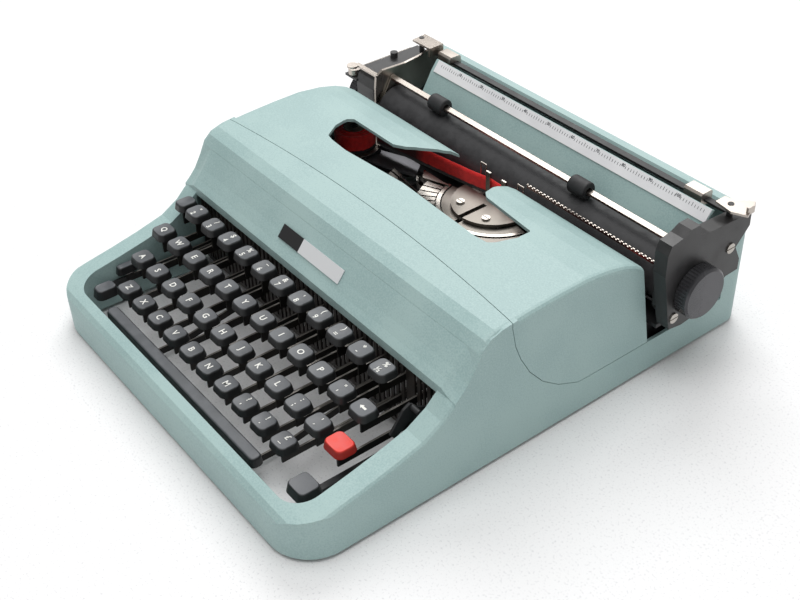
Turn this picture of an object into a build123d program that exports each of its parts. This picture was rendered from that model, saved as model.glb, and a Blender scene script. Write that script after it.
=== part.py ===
from build123d import *
import math
import os

# A portable typewriter in millimetres, +Z up, resting on its rubber feet.
# X runs across the machine with +X to the typist's right, and Y runs from the
# typist towards the back. The origin is under the middle of the whole machine.
# Depths are measured from the front edge of the casing and turned into Y by at().

os.makedirs("parts", exist_ok=True)

# Casing
body_width = 270.0
body_depth = 325.0
body_height = 93.0
shell_wall = 2.0
foot_height = 2.5
corner_radius = 26.0
back_corner_radius = 12.0
edge_radius = 3.0
low_wall_height = 24.0
hood_half_width = 124.0
seam_gap = 0.4
seam_depth = 136.5
seam_bow = 8.0
mouth_corner = 1.6
cover_back_depth = 241.4
rear_box_length = 22.0
rear_box_depth = body_depth - rear_box_length
overrun = 20.0

# Keyboard well
well_half_width = 121.0
well_front_depth = 9.5
well_back_depth = 99.0
well_corner_radius = 15.0
well_back_radius = 0.5

# Keys: rows are listed from the digits down to the row above the space bar
key_pitch = 19.0
key_width = 14.4
key_length = 13.6
key_height = 4.6
key_corner = 4.2
key_top_edge = 1.4
key_dish = 0.5
key_slope_share = 0.22
key_corner_share = 0.4
lever_thickness = 1.2
lever_height = 4.6
stem_length = 5.0
first_key_x = [-119.4, -109.9, -105.15, -95.65]
row_depths = [87.8, 68.0, 49.3, 33.1]
row_tops = [59.4, 49.5, 40.3, 30.0]
lever_tops = [47.0, 37.5, 28.5, 19.5]
character_keys = [11, 11, 11, 10]
first_character = [1, 0, 0, 0]
action_key_row = 2
action_key_place = 5

# Key fulcrum and comb
fulcrum_depth = 178.0
fulcrum_height = 24.0
fulcrum_radius = 1.5
hub_radius = 3.4
comb_depth = 102.0
comb_thickness = 1.2
comb_bottom = 5.0
comb_top = 58.0
comb_half_width = 122.5
comb_slot_width = 2.2
comb_slot_bottom = 8.0
comb_slot_top = 53.0

# Space bar
space_bar_length = 166.4
space_bar_width = 8.5
space_bar_height = 6.0
space_bar_depth = 19.0
space_bar_top = 21.5
space_bar_x = -12.4
space_bar_corner = 3.4
space_bar_slope_share = 0.1
space_arm_x = [-55.3, 58.7]
space_arm_low = 9.5
space_arm_high = 18.0
space_arm_rise_start = 45.0
space_arm_rise_end = 95.0

# Shift keys, shift lock, tabulator, backspace and margin release
shift_length = 15.0
shift_height = 6.0
left_shift_depth = 23.0
right_shift_depth = 25.0
shift_arm_depth = 27.5
shift_top = 27.5
left_shift_x = -109.0
left_shift_width = 11.4
right_shift_x = 105.5
right_shift_width = 16.5
left_shift_arm_x = -119.4
right_shift_arm_x = 107.5
shift_arm_top = 20.5
shift_bar_depth = 162.0
shift_bar_bottom = 10.5
shift_bar_size = 4.0
shift_strap_width = 4.0
shift_strap_end = 97.0
lock_x = -116.8
lock_width = 7.2
lock_length = 14.0
lock_depth = 42.0
lock_top = 31.0
lock_height = 5.0
lock_lever_x = -113.4
lock_lever_top = 25.0
tab_width = 16.0
margin_key_x = -114.9
margin_key_width = 11.4
margin_lever_x = -116.5

# Ribbon colour lever at the right of the comb
selector_x = 112.6
selector_thickness = 1.6
selector_depth = 107.5
selector_height = 36.0
selector_hub = 4.0
selector_plate_length = 33.5
selector_plate_rise = 14.3
selector_reach_depth = 88.5
selector_reach_height = 47.5
selector_pin_radius = 1.5
selector_tip_radius = 1.6
selector_tip_length = 6.0

# Chassis
chassis_half_width = 127.5
chassis_plate = 3.0
chassis_bottom = 4.0
chassis_front_depth = comb_depth + comb_thickness
chassis_back_gap = 6.0
chassis_back_depth = rear_box_depth - chassis_back_gap
chassis_low_top = 35.6
chassis_high_top = 54.5
high_part_start = 196.0
high_part_end = 230.0
cross_bar_height = 3.4
cross_bar_length = 5.0
lug_length = 10.0
lug_height = 5.0
front_lug_depth = 122.0
rear_lug_depth = 266.0
pedestal_half_width = 16.0
pedestal_start = 205.0
pedestal_end = 233.0
bracket_inner_x = 92.0
bracket_thickness = 2.0
foot_radius = 4.9
foot_x = 128.0
front_foot_depth = 40.0
front_foot_top = 8.0

# Type basket
type_x = 6.0
basket_depth = 238.0
pivot_radius = 30.0
pivot_height = 26.0
typebar_reach = 75.0
typebar_rise = 25.0
typebar_thickness = 0.9
typebar_height = 3.6
typebar_count = 43
typebar_fan = 144.0
slug_width = 3.0
slug_length = 6.5
slug_height = 4.4
segment_inner = 26.0
segment_outer = 36.0
segment_bottom = 20.0
segment_top = 33.0
segment_floor = 22.0
segment_fan_margin = 6.0
segment_slot = 1.1
segment_slot_overrun = 4.0
segment_plinth_top = 30.0
cap_radius = 26.0
cap_depth = 236.0
cap_bottom = 55.0
cap_thickness = 2.0
cap_slot = 3.4
cap_slot_end = 230.0
column_half_width = 8.0
column_start = 224.0
column_end = 233.0
screw_spread = 12.0
screw_depth = 220.2
screw_head_radius = 2.6
screw_head_height = 1.2
screw_slot_width = 0.7
rest_radius = 63.0
rest_width = 6.0
rest_height = 2.8
rest_top = 40.2
rest_leg_length = 5.0

# Ribbon
spool_x = 107.0
spool_depth = 213.0
spool_bottom = 55.0
spool_radius = 16.5
spool_height = 15.0
spool_flange = 0.8
spool_hub_radius = 5.0
spool_cap_radius = 7.5
winding_radius = 14.0
spindle_radius = 2.4
ribbon_width = 12.7
ribbon_thickness = 0.35
ribbon_bottom = 56.1
ribbon_depth = 239.9
ribbon_wrap_angle = 40.0
ribbon_guide_spread = 20.0
ribbon_guide_depth = 237.4
vibrator_depth = 238.0
vibrator_thickness = 1.2
vibrator_bottom = 40.5
vibrator_top = 74.0
vibrator_half_width = 9.0
vibrator_window = 5.2
vibrator_window_bottom = 52.0
vibrator_stem = 3.0

# Card holders and aligning scale in front of the platen
holder_tab_width = 10.0
holder_spread = 17.0
holder_tab_thickness = 1.0
holder_wire_radius = 0.5
holder_wire_depth = 241.0
holder_wire_top = 76.0
holder_hook_length = 5.0
holder_hook_drop = 7.0
scale_depth = 243.2
scale_height = 2.4
scale_thickness = 0.7
scale_bottom = 75.0
scale_teeth = 36
scale_tooth_depth = 1.0

# Ends of the carriage, which follow its span across the knobs
half_span = 157.0
knob_length = 8.7
knob_gap = 0.3
end_plate_thickness = 9.0
right_plate_outer = half_span - knob_length - knob_gap
right_plate_inner = right_plate_outer - end_plate_thickness
right_disc_length = 2.4
left_cover_setback = 13.0
left_cover_length = 19.0
left_plate_thickness = 2.0
left_cover_outer = left_cover_setback - half_span
left_plate_outer = left_cover_outer + left_cover_length
left_plate_inner = left_plate_outer + left_plate_thickness

# Platen, its shaft and knobs
platen_depth = 258.4
platen_height = 62.0
platen_radius = 16.4
platen_left_gap = 2.4
platen_right_gap = 2.8
platen_left = left_plate_inner + platen_left_gap
platen_right = right_plate_inner - right_disc_length - platen_right_gap
shaft_radius = 3.2
knob_radius = 15.7
knob_edge = 1.2
knob_ribs = 48
knob_rib_depth = 0.4
ratchet_radius = 9.0
ratchet_teeth = 30
ratchet_tooth_depth = 1.2
ratchet_tooth_share = 0.6
ratchet_set_share = 0.2

# Carriage
rail_radius = 2.5
rail_height = 33.0
front_rail_depth = 246.0
rear_rail_depth = 285.0
bed_front_depth = 242.0
bed_back_depth = 292.0
bed_bottom = 35.8
bed_thickness = 2.6
trough_gap = 1.2
trough_thickness = 1.0
trough_sweep = 110.0
trough_rib = 4.0
right_disc_radius = 21.5
plate_base_depth = 231.0
plate_length = 72.0
plate_base_height = 38.4
plate_rise = 62.0
plate_screw_radius = 3.2
plate_screw_height = 0.8
fit = 0.3
running_clearance = 0.05

# Paper table, ruler, margin rail and stops
table_left_gap = 18.0
table_left = left_plate_inner + table_left_gap
table_right_gap = 3.0
table_right = right_plate_inner - table_right_gap
table_bottom_depth = 269.2
table_bottom = 77.0
table_bend_depth = 277.0
table_bend = 90.0
table_top_depth = 282.0
table_top = 96.6
table_thickness = 1.4
table_lean_share = 0.5
table_leg_width = 3.0
table_leg_length = 6.0
ruler_left_margin = 3.0
ruler_left = table_left + ruler_left_margin
ruler_right_margin = 0.4
ruler_right = table_right - ruler_right_margin
ruler_thickness = 0.8
margin_rail_depth = 291.2
margin_rail_width = 4.4
margin_rail_bottom = 93.2
margin_rail_thickness = 1.4
stop_width = 13.0
stop_length = 9.4
stop_bottom = 90.6
stop_height = 8.0
left_stop_setback = 20.0
left_stop_x = left_plate_inner + left_stop_setback
right_stop_setback = 22.0
right_stop_x = right_plate_inner - right_stop_setback

# Paper bail
bail_pivot_depth = 247.0
bail_pivot_height = 66.0
bail_pin_radius = 1.2
bail_depth = 257.5
bail_bar_width = 4.4
bail_bar_thickness = 1.6
bail_arm_thickness = 1.1
bail_arm_gap = 0.35
bail_arm_width = 5.0
bail_roller_radius = 5.6
bail_roller_length = 13.5
bail_roller_bore = 2.45
left_roller_x = -72.2
right_roller_x = 59.0

# Levers on top of the carriage ends
lever_pivot_setback = 5.2
lever_pivot_x = lever_pivot_setback - half_span
lever_pivot_depth = 246.5
lever_boss_radius = 4.6
lever_pin_radius = 1.8
lever_bottom = 80.0
lever_thickness_at_boss = 4.0
lever_plate = 1.6
lever_end_depth = 300.0
lever_width = 7.0
lever_shelf_thickness = 1.6
link_depth = 243.6
link_thickness = 1.2
link_bottom = 88.3
link_width = 3.4
lobe_radius = 4.0
lobe_reach = 3.0
lobe_x = left_cover_outer - lobe_reach
lobe_depth = 241.6
release_thickness = 1.4
release_height = 100.2
release_pin_radius = 1.8
release_lip_height = 3.4
right_release_setback = 5.5
right_release_x = right_plate_outer - right_release_setback
right_release_depth = 288.0
right_release_length = 29.0
left_release_setback = 4.0
left_release_x = left_plate_outer - left_release_setback
left_release_depth = 288.0
left_release_length = 20.0
rest_cap_setback = 4.0
rest_cap_x = left_cover_outer + rest_cap_setback
rest_cap_depth = 272.0
rest_cap_radius = 2.6
rest_cap_height = 4.0

# Spring drum and bell inside the back
drum_x = -92.0
drum_depth = 268.0
drum_radius = 13.0
drum_bottom = 9.0
drum_height = 16.0
drum_pin_radius = 2.0
drum_plate_thickness = 2.0
drum_groove_low_share = 0.3
drum_groove_high_share = 0.7
drum_core_share = 0.85
bell_x = -52.0
bell_depth = 268.0
bell_radius = 12.0
bell_bottom = 12.0
bell_height = 9.0
bell_wall = 1.2
bell_post_radius = 2.0
bell_round_share = 0.6
bell_hollow_share = 0.7

# Badge on the slope
badge_left = -33.0
badge_right = 27.0
badge_width = 8.6
badge_thickness = 0.7
badge_share = 0.34


def at(depth):
    return depth - body_depth / 2


def box_between(x0, x1, y0, y1, z0, z1):
    middle = Pos((x0 + x1) / 2, (y0 + y1) / 2, (z0 + z1) / 2)
    return middle * Box(abs(x1 - x0), abs(y1 - y0), abs(z1 - z0))


def rod_along_x(radius, x0, x1, y, z):
    return Pos((x0 + x1) / 2, y, z) * Rot(0, 90, 0) * Cylinder(radius, abs(x1 - x0))


def post(radius, x, y, z0, z1):
    return Pos(x, y, (z0 + z1) / 2) * Cylinder(radius, abs(z1 - z0))


def side_plate(points, x0, x1):
    outline = Plane.YZ * make_face(Polyline(*points, close=True))
    return Pos(min(x0, x1), 0, 0) * extrude(outline, amount=abs(x1 - x0))


def flat_plate(points, z0, z1):
    outline = make_face(Polyline(*points, close=True))
    return Pos(0, 0, z0) * extrude(outline, amount=z1 - z0)


def save(shape, name):
    export_step(shape, "parts/" + name + ".step")


# Casing outline seen from the side, as shares of the casing's depth and height
rim_profile_shares = [
    (0.000, 0.200), (0.004, 0.262), (0.012, 0.292), (0.030, 0.310),
    (0.073, 0.343), (0.128, 0.378), (0.185, 0.420), (0.242, 0.471),
    (0.280, 0.548), (0.299, 0.612), (0.313, 0.650), (0.330, 0.715),
    (0.345, 0.800), (0.355, 0.880), (0.368, 0.940), (0.389, 0.972),
    (0.455, 0.988), (0.520, 0.998), (0.580, 1.000), (0.630, 0.978), (0.668, 0.945),
    (0.694, 0.905), (0.712, 0.860),
]
slope_profile_shares = [
    (0.3046, 0.665), (0.316, 0.705), (0.330, 0.762), (0.345, 0.832),
    (0.359, 0.896), (0.376, 0.946), (0.402, 0.972), (0.430, 0.982),
]
rear_profile_shares = [
    (0.9323, 0.80), (0.9323, 0.925), (0.937, 0.950), (0.952, 0.950),
    (0.966, 0.915), (0.980, 0.830), (0.990, 0.700), (0.996, 0.500),
    (1.000, 0.200),
]
seam_profile_shares = [
    (0.420, 0.945), (0.428, 0.800), (0.440, 0.690), (0.461, 0.556),
    (0.491, 0.430), (0.527, 0.335), (0.574, 0.262), (0.600, 0.258),
]


def profile_points(shares, lowering=0, moving=0):
    scaled = []
    for depth_share, height_share in shares:
        scaled.append((at(depth_share * body_depth) + moving, height_share * body_height - lowering))
    return scaled


# The plan of the casing, drawn in by the wall for its inside
def plan_prism(inset, z0, z1):
    width = body_width - inset * 2
    depth = body_depth - inset * 2
    back_half = Pos(0, depth / 2) * Rectangle(width * 2, depth)
    front = RectangleRounded(width, depth, corner_radius - inset) - back_half
    back = RectangleRounded(width, depth, back_corner_radius - inset) & back_half
    return Pos(0, 0, z0) * extrude(front + back, amount=z1 - z0)


# A plate across the casing whose long upper edges are rounded off at both sides
rounding_shares = [(0, 0), (0.5, 0.134), (0.866, 0.5), (1, 1)]


def softened_plate(points, soft, bottom):
    half_width = body_width / 2
    plate = side_plate(points, -half_width + soft, half_width - soft)
    for side in (1, -1):
        sections = []
        for across_share, drop_share in rounding_shares:
            ring = [(y, z - soft * drop_share if z > bottom else z) for y, z in points]
            x = side * (half_width - soft + soft * across_share)
            sections.append(Pos(x, 0, 0) * (Plane.YZ * make_face(Polyline(*ring, close=True))))
        plate = plate + loft(sections, ruled=True)
    return plate


# The whole outer form, or its inside: rims, crowned top, low side walls and rear box
def casing_form(inset):
    bottom = foot_height if inset == 0 else -overrun
    back = at(cover_back_depth) + (overrun if inset > 0 else 0)
    rims = [(max(y, at(0) + inset), z) for y, z in profile_points(rim_profile_shares, inset)]
    last_height = rims[-1][1] if inset > 0 else low_wall_height
    rims = [(at(0) + inset, bottom)] + rims + [(back, last_height), (back, bottom)]
    rear_front = at(rear_box_depth) + (inset - overrun if inset > 0 else 0)
    rear = [(min(y, at(body_depth) - inset), z - inset) for y, z in profile_points(rear_profile_shares)]
    rear = [(y - inset if y > rear[1][0] + inset else rear_front, z) for y, z in rear]
    rear = [(rear_front, bottom)] + rear + [(rear[-1][0], bottom)]
    wall_top = low_wall_height - inset
    walls = box_between(-body_width / 2, body_width / 2, at(seam_depth), at(body_depth), bottom, wall_top)
    plan = plan_prism(inset, bottom, body_height * 2)
    if inset > 0:
        half_width = body_width / 2
        return (plan & side_plate(
            rims, -half_width, half_width,
        )) + (plan & walls) + (plan & side_plate(rear, -half_width, half_width))
    return (plan & softened_plate(
        rims, edge_radius, bottom,
    )) + (plan & walls) + (plan & softened_plate(rear, edge_radius, bottom))


# The steep slope behind the keys, wider at its foot than the rims beside it
slope_drop_share = 0.6
slope_push_share = 0.8
ease_shares = [(0, 0), (0.3, 0.5), (0.62, 0.82), (1, 1)]


def slope_form(inset):
    drop = inset * slope_drop_share
    push = inset * slope_push_share
    floor = body_height / 2
    inner = profile_points(slope_profile_shares, drop, push)
    closing = [(inner[-1][0], floor), (inner[0][0], floor)]
    return side_plate(inner + closing, -hood_half_width + inset, hood_half_width - inset)


def slope_flank(side, inset):
    drop = inset * slope_drop_share
    push = inset * slope_push_share
    floor = body_height / 2
    inner = profile_points(slope_profile_shares, drop, push)
    rim = []
    for y, z in inner:
        rim.append((y, min(z, rim_height(y - push) - drop)))
    inner_ring = inner + [(inner[-1][0], floor), (inner[0][0], floor)]
    outer_ring = rim + [(rim[-1][0], floor), (rim[0][0], floor)]
    start = hood_half_width - inset
    reach = body_width / 2 - start
    sections = []
    for across_share, drop_share in ease_shares:
        ring = []
        for a, b in zip(inner_ring, outer_ring):
            ring.append((a[0], a[1] + (b[1] - a[1]) * drop_share))
        x = side * (start + reach * across_share)
        sections.append(Pos(x, 0, 0) * (Plane.YZ * make_face(Polyline(*ring, close=True))))
    return loft(sections, ruled=True)


def rim_height(y):
    points = profile_points(rim_profile_shares)
    for a, b in zip(points, points[1:]):
        if a[0] <= y <= b[0]:
            return a[1] + (b[1] - a[1]) * (y - a[0]) / (b[0] - a[0])
    return points[-1][1]


def rounded_casing(inset):
    form = casing_form(inset) + slope_form(inset)
    form = form + slope_flank(1, inset) + slope_flank(-1, inset)
    return form & plan_prism(inset, -overrun * 2, body_height * 2)


# Casing blanks: the outside with softened edges, and the space inside it
outside = rounded_casing(0)
inside = rounded_casing(shell_wall)
skin = outside - inside

# The well for the keys, open to the table below
well_width = well_half_width * 2
well_length = well_back_depth - well_front_depth
well_middle = at(well_front_depth + well_length / 2)


def well_prism(growth, z0, z1):
    front = RectangleRounded(well_width + growth * 2, well_length + growth * 2, well_corner_radius + growth)
    back = RectangleRounded(well_width + growth * 2, well_length + growth * 2, well_back_radius + growth)
    back_half = Pos(0, well_length / 2) * Rectangle(well_width * 2, well_length)
    outline = (front - back_half) + (back & back_half)
    return Pos(0, well_middle, z0) * extrude(outline, amount=z1 - z0)


well_hole = well_prism(0, -overrun, body_height * slope_profile_shares[0][1])
well_wall = well_prism(shell_wall, foot_height, body_height * slope_profile_shares[0][1]) - well_hole
well_wall = well_wall & outside
well_front_zone = box_between(-body_width, body_width, at(0), at(well_back_depth) - fit, 0, body_height)
well_wall = well_wall & well_front_zone

# The ribbon cover begins behind a seam that bows back at its middle
seam_points = profile_points(seam_profile_shares)
cover_floor = seam_points[-1][1]
cover_zone_points = [(at(seam_depth), body_height * 2)] + seam_points
cover_zone_points = cover_zone_points + [
    (at(cover_back_depth) + overrun, cover_floor),
    (at(cover_back_depth) + overrun, body_height * 2),
]
cover_zone = side_plate(cover_zone_points, -body_width, body_width)
half_seam = body_width / 2
bow_line = Polyline((-half_seam, at(seam_depth) - seam_bow), (-half_seam, at(seam_depth)))
bow_arc = ThreePointArc(
    (-half_seam, at(seam_depth)), (0, at(seam_depth) + seam_bow), (half_seam, at(seam_depth)),
)
bow_back = Polyline(
    (half_seam, at(seam_depth)), (half_seam, at(seam_depth) - seam_bow),
    (-half_seam, at(seam_depth) - seam_bow),
)
bow_height = body_height / 2
bow_block = Pos(0, 0, bow_height) * extrude(make_face(bow_line + bow_arc + bow_back), amount=body_height)
cover_zone = cover_zone - bow_block

# Opening in the cover over the type basket, with a prong each side of its mouth
mouth_shares = [
    (-0.276, 0.526), (-0.302, 0.558), (-0.310, 0.590), (-0.302, 0.602), (-0.247, 0.602),
    (-0.151, 0.602), (-0.127, 0.616), (-0.107, 0.639), (-0.083, 0.677), (-0.070, 0.754),
    (0.123, 0.754), (0.114, 0.689), (0.116, 0.657), (0.130, 0.629), (0.148, 0.619),
    (0.181, 0.616), (0.304, 0.605), (0.308, 0.574), (0.291, 0.536), (0.280, 0.525),
    (0.248, 0.522), (0.124, 0.526), (-0.004, 0.531), (-0.196, 0.519), (-0.254, 0.522),
]
mouth_points = [(x_share * body_width, at(y_share * body_depth)) for x_share, y_share in mouth_shares]
mouth_face = make_face(Polyline(*mouth_points, close=True))
mouth_hole = Pos(
    0, 0, bow_height,
) * extrude(fillet(mouth_face.vertices(), mouth_corner), amount=body_height)

front_zone = box_between(
    -body_width, body_width, at(0) - overrun, at(cover_back_depth), cover_floor,
    body_height * 2,
)
top_cover = (skin & cover_zone & front_zone) - mouth_hole
save(top_cover, "top_cover")

# The seam gap is left open all round the cover
gap_zone = Pos(0, -seam_gap, 0) * cover_zone + Pos(0, 0, -seam_gap) * cover_zone + cover_zone
gap_zone = gap_zone & box_between(
    -body_width, body_width, at(0), at(rear_box_depth) - overrun, 0, body_height * 2,
)
lower_shell = (skin - well_hole) + well_wall
lower_shell = lower_shell - gap_zone
trough = box_between(
    -body_width / 2 + shell_wall, body_width / 2 - shell_wall, at(cover_back_depth) - overrun,
    at(rear_box_depth) - fit, low_wall_height - overrun, body_height,
)
lower_shell = lower_shell - (trough & box_between(
    -body_width, body_width, at(cover_back_depth) - shell_wall, at(rear_box_depth), 0,
    body_height,
))
rear_window = box_between(
    -body_width / 2 + shell_wall, body_width / 2 - shell_wall, at(rear_box_depth) - overrun,
    at(rear_box_depth) + shell_wall + fit, -overrun, body_height * rear_profile_shares[0][1],
)
lower_shell = lower_shell - rear_window
save(lower_shell, "lower_shell")

# A thin plate standing across X, with round holes bored through it
def bored_plate(points, x0, x1, holes):
    plate = side_plate(points, x0, x1)
    for y, z, radius in holes:
        plate = plate - rod_along_x(radius, x0 - overrun, x1 + overrun, y, z)
    return plate


fulcrum_y = at(fulcrum_depth)
bore_radius = fulcrum_radius + running_clearance


# A key cap with sloped skirts, soft upper edges and a shallow dish
def tapered_block(width, length, height, corner, slope_share):
    draw_in = height * slope_share
    foot = RectangleRounded(width, length, corner)
    crown = RectangleRounded(width - draw_in * 2, length - draw_in * 2, corner - draw_in)
    return loft([foot, Pos(0, 0, height) * crown])


def key_cap(width, length, height):
    corner = min(key_corner, width * key_corner_share)
    skirt = tapered_block(width, length, height, corner, key_slope_share)
    top_edges = skirt.faces().sort_by(Axis.Z)[-1].edges()
    cap = fillet(top_edges, key_top_edge)
    dish_radius = (width * width / 4 + key_dish * key_dish) / (key_dish * 2)
    return cap - Pos(0, 0, height + dish_radius - key_dish) * Sphere(dish_radius)


# A key lever from the stem under its cap to the hub on the fulcrum rod
def key_lever(x, depth, cap_bottom, bar_top):
    stem_y = at(depth)
    half_stem = stem_length / 2
    comb_y = at(comb_depth)
    half_hub = lever_height / 2
    points = [
        (stem_y - half_stem, bar_top - lever_height), (stem_y - half_stem, cap_bottom),
        (stem_y + half_stem, cap_bottom), (stem_y + half_stem, bar_top),
        (comb_y + stem_length, bar_top), (fulcrum_y, fulcrum_height + half_hub),
        (fulcrum_y, fulcrum_height - half_hub), (comb_y + stem_length, bar_top - lever_height),
    ]
    x0 = x - lever_thickness / 2
    x1 = x + lever_thickness / 2
    lever = side_plate(points, x0, x1) + rod_along_x(hub_radius, x0, x1, fulcrum_y, fulcrum_height)
    return lever - rod_along_x(bore_radius, x0 - overrun, x1 + overrun, fulcrum_y, fulcrum_height)


# Four rows of character keys; one letter of the home row is kept apart
row_names = ["number_row", "upper_row", "home_row", "bottom_row"]
letter_cap = key_cap(key_width, key_length, key_height)
for row in range(4):
    caps = []
    levers = []
    for place in range(character_keys[row]):
        x = first_key_x[row] + key_pitch * (place + first_character[row])
        cap = Pos(x, at(row_depths[row]), row_tops[row] - key_height) * letter_cap
        lever = key_lever(x, row_depths[row], row_tops[row] - key_height, lever_tops[row])
        if row == action_key_row and place == action_key_place:
            save(Compound([cap, lever]), "home_row_action_key")
        else:
            caps.append(cap)
            levers.append(lever)
    save(Compound(caps), row_names[row] + "_keycaps")
    save(Compound(levers), row_names[row] + "_levers")

# Red tabulator key, backspace key and margin release key
tab_x = first_key_x[2] + key_pitch * character_keys[2]
tab_bottom = row_tops[2] - key_height
tab_cap = Pos(tab_x, at(row_depths[2]), tab_bottom) * key_cap(tab_width, key_length, key_height)
save(Compound([tab_cap, key_lever(tab_x, row_depths[2], tab_bottom, lever_tops[2])]), "tab_key")
backspace_x = first_key_x[1] + key_pitch * character_keys[1]
backspace_bottom = row_tops[1] - key_height
backspace_cap = Pos(backspace_x, at(row_depths[1]), backspace_bottom) * letter_cap
save(
    Compound([backspace_cap, key_lever(backspace_x, row_depths[1], backspace_bottom, lever_tops[1])]),
    "backspace_key",
)
margin_bottom = row_tops[0] - key_height
margin_cap = Pos(
    margin_key_x, at(row_depths[0]), margin_bottom,
) * key_cap(margin_key_width, key_length, key_height)
save(
    Compound([margin_cap, key_lever(margin_lever_x, row_depths[0], margin_bottom, lever_tops[0])]),
    "margin_release_key",
)

# Shift keys on one swinging frame, and the shift lock beside the left one
shift_bottom = shift_top - shift_height
left_shift = Pos(
    left_shift_x, at(left_shift_depth), shift_bottom,
) * key_cap(left_shift_width, shift_length, shift_height)
right_shift = Pos(
    right_shift_x, at(right_shift_depth), shift_bottom,
) * key_cap(right_shift_width, shift_length, shift_height)
save(Compound([left_shift, right_shift]), "shift_keycaps")
half_lever_plate = lever_thickness / 2
foot_y0 = at(shift_arm_depth) - stem_length / 2
foot_y1 = at(shift_arm_depth) + stem_length / 2
foot_floor = shift_bottom - lever_thickness
left_arm = key_lever(left_shift_arm_x, shift_arm_depth, shift_bottom, shift_arm_top)
left_foot = box_between(
    left_shift_arm_x - half_lever_plate, left_shift_x, foot_y0, foot_y1, foot_floor,
    shift_bottom,
)
right_arm = key_lever(right_shift_arm_x, shift_arm_depth, shift_bottom, shift_arm_top)
right_foot = box_between(
    right_shift_x, right_shift_arm_x + half_lever_plate, foot_y0, foot_y1, foot_floor,
    shift_bottom,
)
strap = box_between(
    right_shift_arm_x - shift_strap_width / 2, right_shift_arm_x + shift_strap_width / 2,
    foot_y0, at(shift_strap_end), shift_arm_top - lever_height, shift_arm_top,
)
shift_bar = box_between(
    left_shift_arm_x - lever_thickness / 2, right_shift_arm_x + lever_thickness / 2,
    at(shift_bar_depth), at(shift_bar_depth) + shift_bar_size, shift_bar_bottom,
    shift_bar_bottom + shift_bar_size,
)
shift_frame = left_arm + right_arm + left_foot + right_foot + strap + shift_bar
for arm_x in (left_shift_arm_x, right_shift_arm_x):
    drop = box_between(
        arm_x - lever_thickness / 2, arm_x + lever_thickness / 2, at(shift_bar_depth),
        at(shift_bar_depth) + shift_bar_size, shift_bar_bottom,
        fulcrum_height - fulcrum_radius * 2,
    )
    shift_frame = shift_frame + drop
save(shift_frame, "shift_frame")
lock_bottom = lock_top - lock_height
lock_cap = Pos(lock_x, at(lock_depth), lock_bottom) * key_cap(lock_width, lock_length, lock_height)
lock_lever = key_lever(lock_lever_x, lock_depth, lock_bottom, lock_lever_top)
save(Compound([lock_cap, lock_lever]), "shift_lock_key")

# Space bar with its two arms, which dip below the letter keys
half_bar = space_bar_length / 2
bar_bottom = space_bar_top - space_bar_height
bar_block = tapered_block(
    space_bar_length, space_bar_width, space_bar_height, space_bar_corner,
    space_bar_slope_share,
)
bar_block = fillet(bar_block.faces().sort_by(Axis.Z)[-1].edges(), key_top_edge)
space_bar = Pos(space_bar_x, at(space_bar_depth), bar_bottom) * bar_block
arms = []
for arm_x in space_arm_x:
    arm_points = [
        (
            at(space_bar_depth) - stem_length / 2, space_arm_low - lever_height,
        ), (at(space_bar_depth) - stem_length / 2, bar_bottom),
        (
            at(space_bar_depth) + stem_length / 2, bar_bottom,
        ), (at(space_bar_depth) + stem_length / 2, space_arm_low),
        (at(space_arm_rise_start), space_arm_low), (at(space_arm_rise_end), space_arm_high),
        (at(comb_depth) + stem_length, space_arm_high), (fulcrum_y, fulcrum_height + lever_height / 2),
        (
            fulcrum_y, fulcrum_height - lever_height / 2,
        ), (at(comb_depth) + stem_length, space_arm_high - lever_height),
        (
            at(space_arm_rise_end), space_arm_high - lever_height,
        ), (at(space_arm_rise_start), space_arm_low - lever_height),
    ]
    x0 = arm_x - lever_thickness / 2
    x1 = arm_x + lever_thickness / 2
    arm = side_plate(arm_points, x0, x1) + rod_along_x(hub_radius, x0, x1, fulcrum_y, fulcrum_height)
    arms.append(arm - rod_along_x(bore_radius, x0 - overrun, x1 + overrun, fulcrum_y, fulcrum_height))
save(Compound([space_bar] + arms), "space_bar")

# Slotted comb that guides the levers, and the rod that they swing on
comb_y = at(comb_depth)
comb = box_between(
    -comb_half_width, comb_half_width, comb_y, comb_y + comb_thickness, comb_bottom, comb_top,
)
slot_places = []
for row in range(4):
    for place in range(character_keys[row]):
        slot_places.append(first_key_x[row] + key_pitch * (place + first_character[row]))
slot_places = slot_places + [
    tab_x, backspace_x, margin_lever_x, lock_lever_x, left_shift_arm_x, right_shift_arm_x,
]
slots = [box_between(
    x - comb_slot_width / 2, x + comb_slot_width / 2, comb_y - overrun, comb_y + overrun,
    comb_slot_bottom, comb_slot_top,
) for x in slot_places]
selector_slot_half = selector_thickness / 2 + fit
slots.append(box_between(
    selector_x - selector_slot_half, selector_x + selector_slot_half, comb_y - overrun,
    comb_y + overrun, selector_height - selector_hub, comb_slot_top,
))
for arm_x in space_arm_x:
    slots.append(box_between(
        arm_x - comb_slot_width / 2, arm_x + comb_slot_width / 2, comb_y - overrun,
        comb_y + overrun, comb_slot_bottom, space_arm_high + fit,
    ))
comb = comb - slots
save(comb, "comb_plate")
save(
    rod_along_x(fulcrum_radius, -chassis_half_width, chassis_half_width, fulcrum_y, fulcrum_height),
    "key_fulcrum_rod",
)

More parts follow.
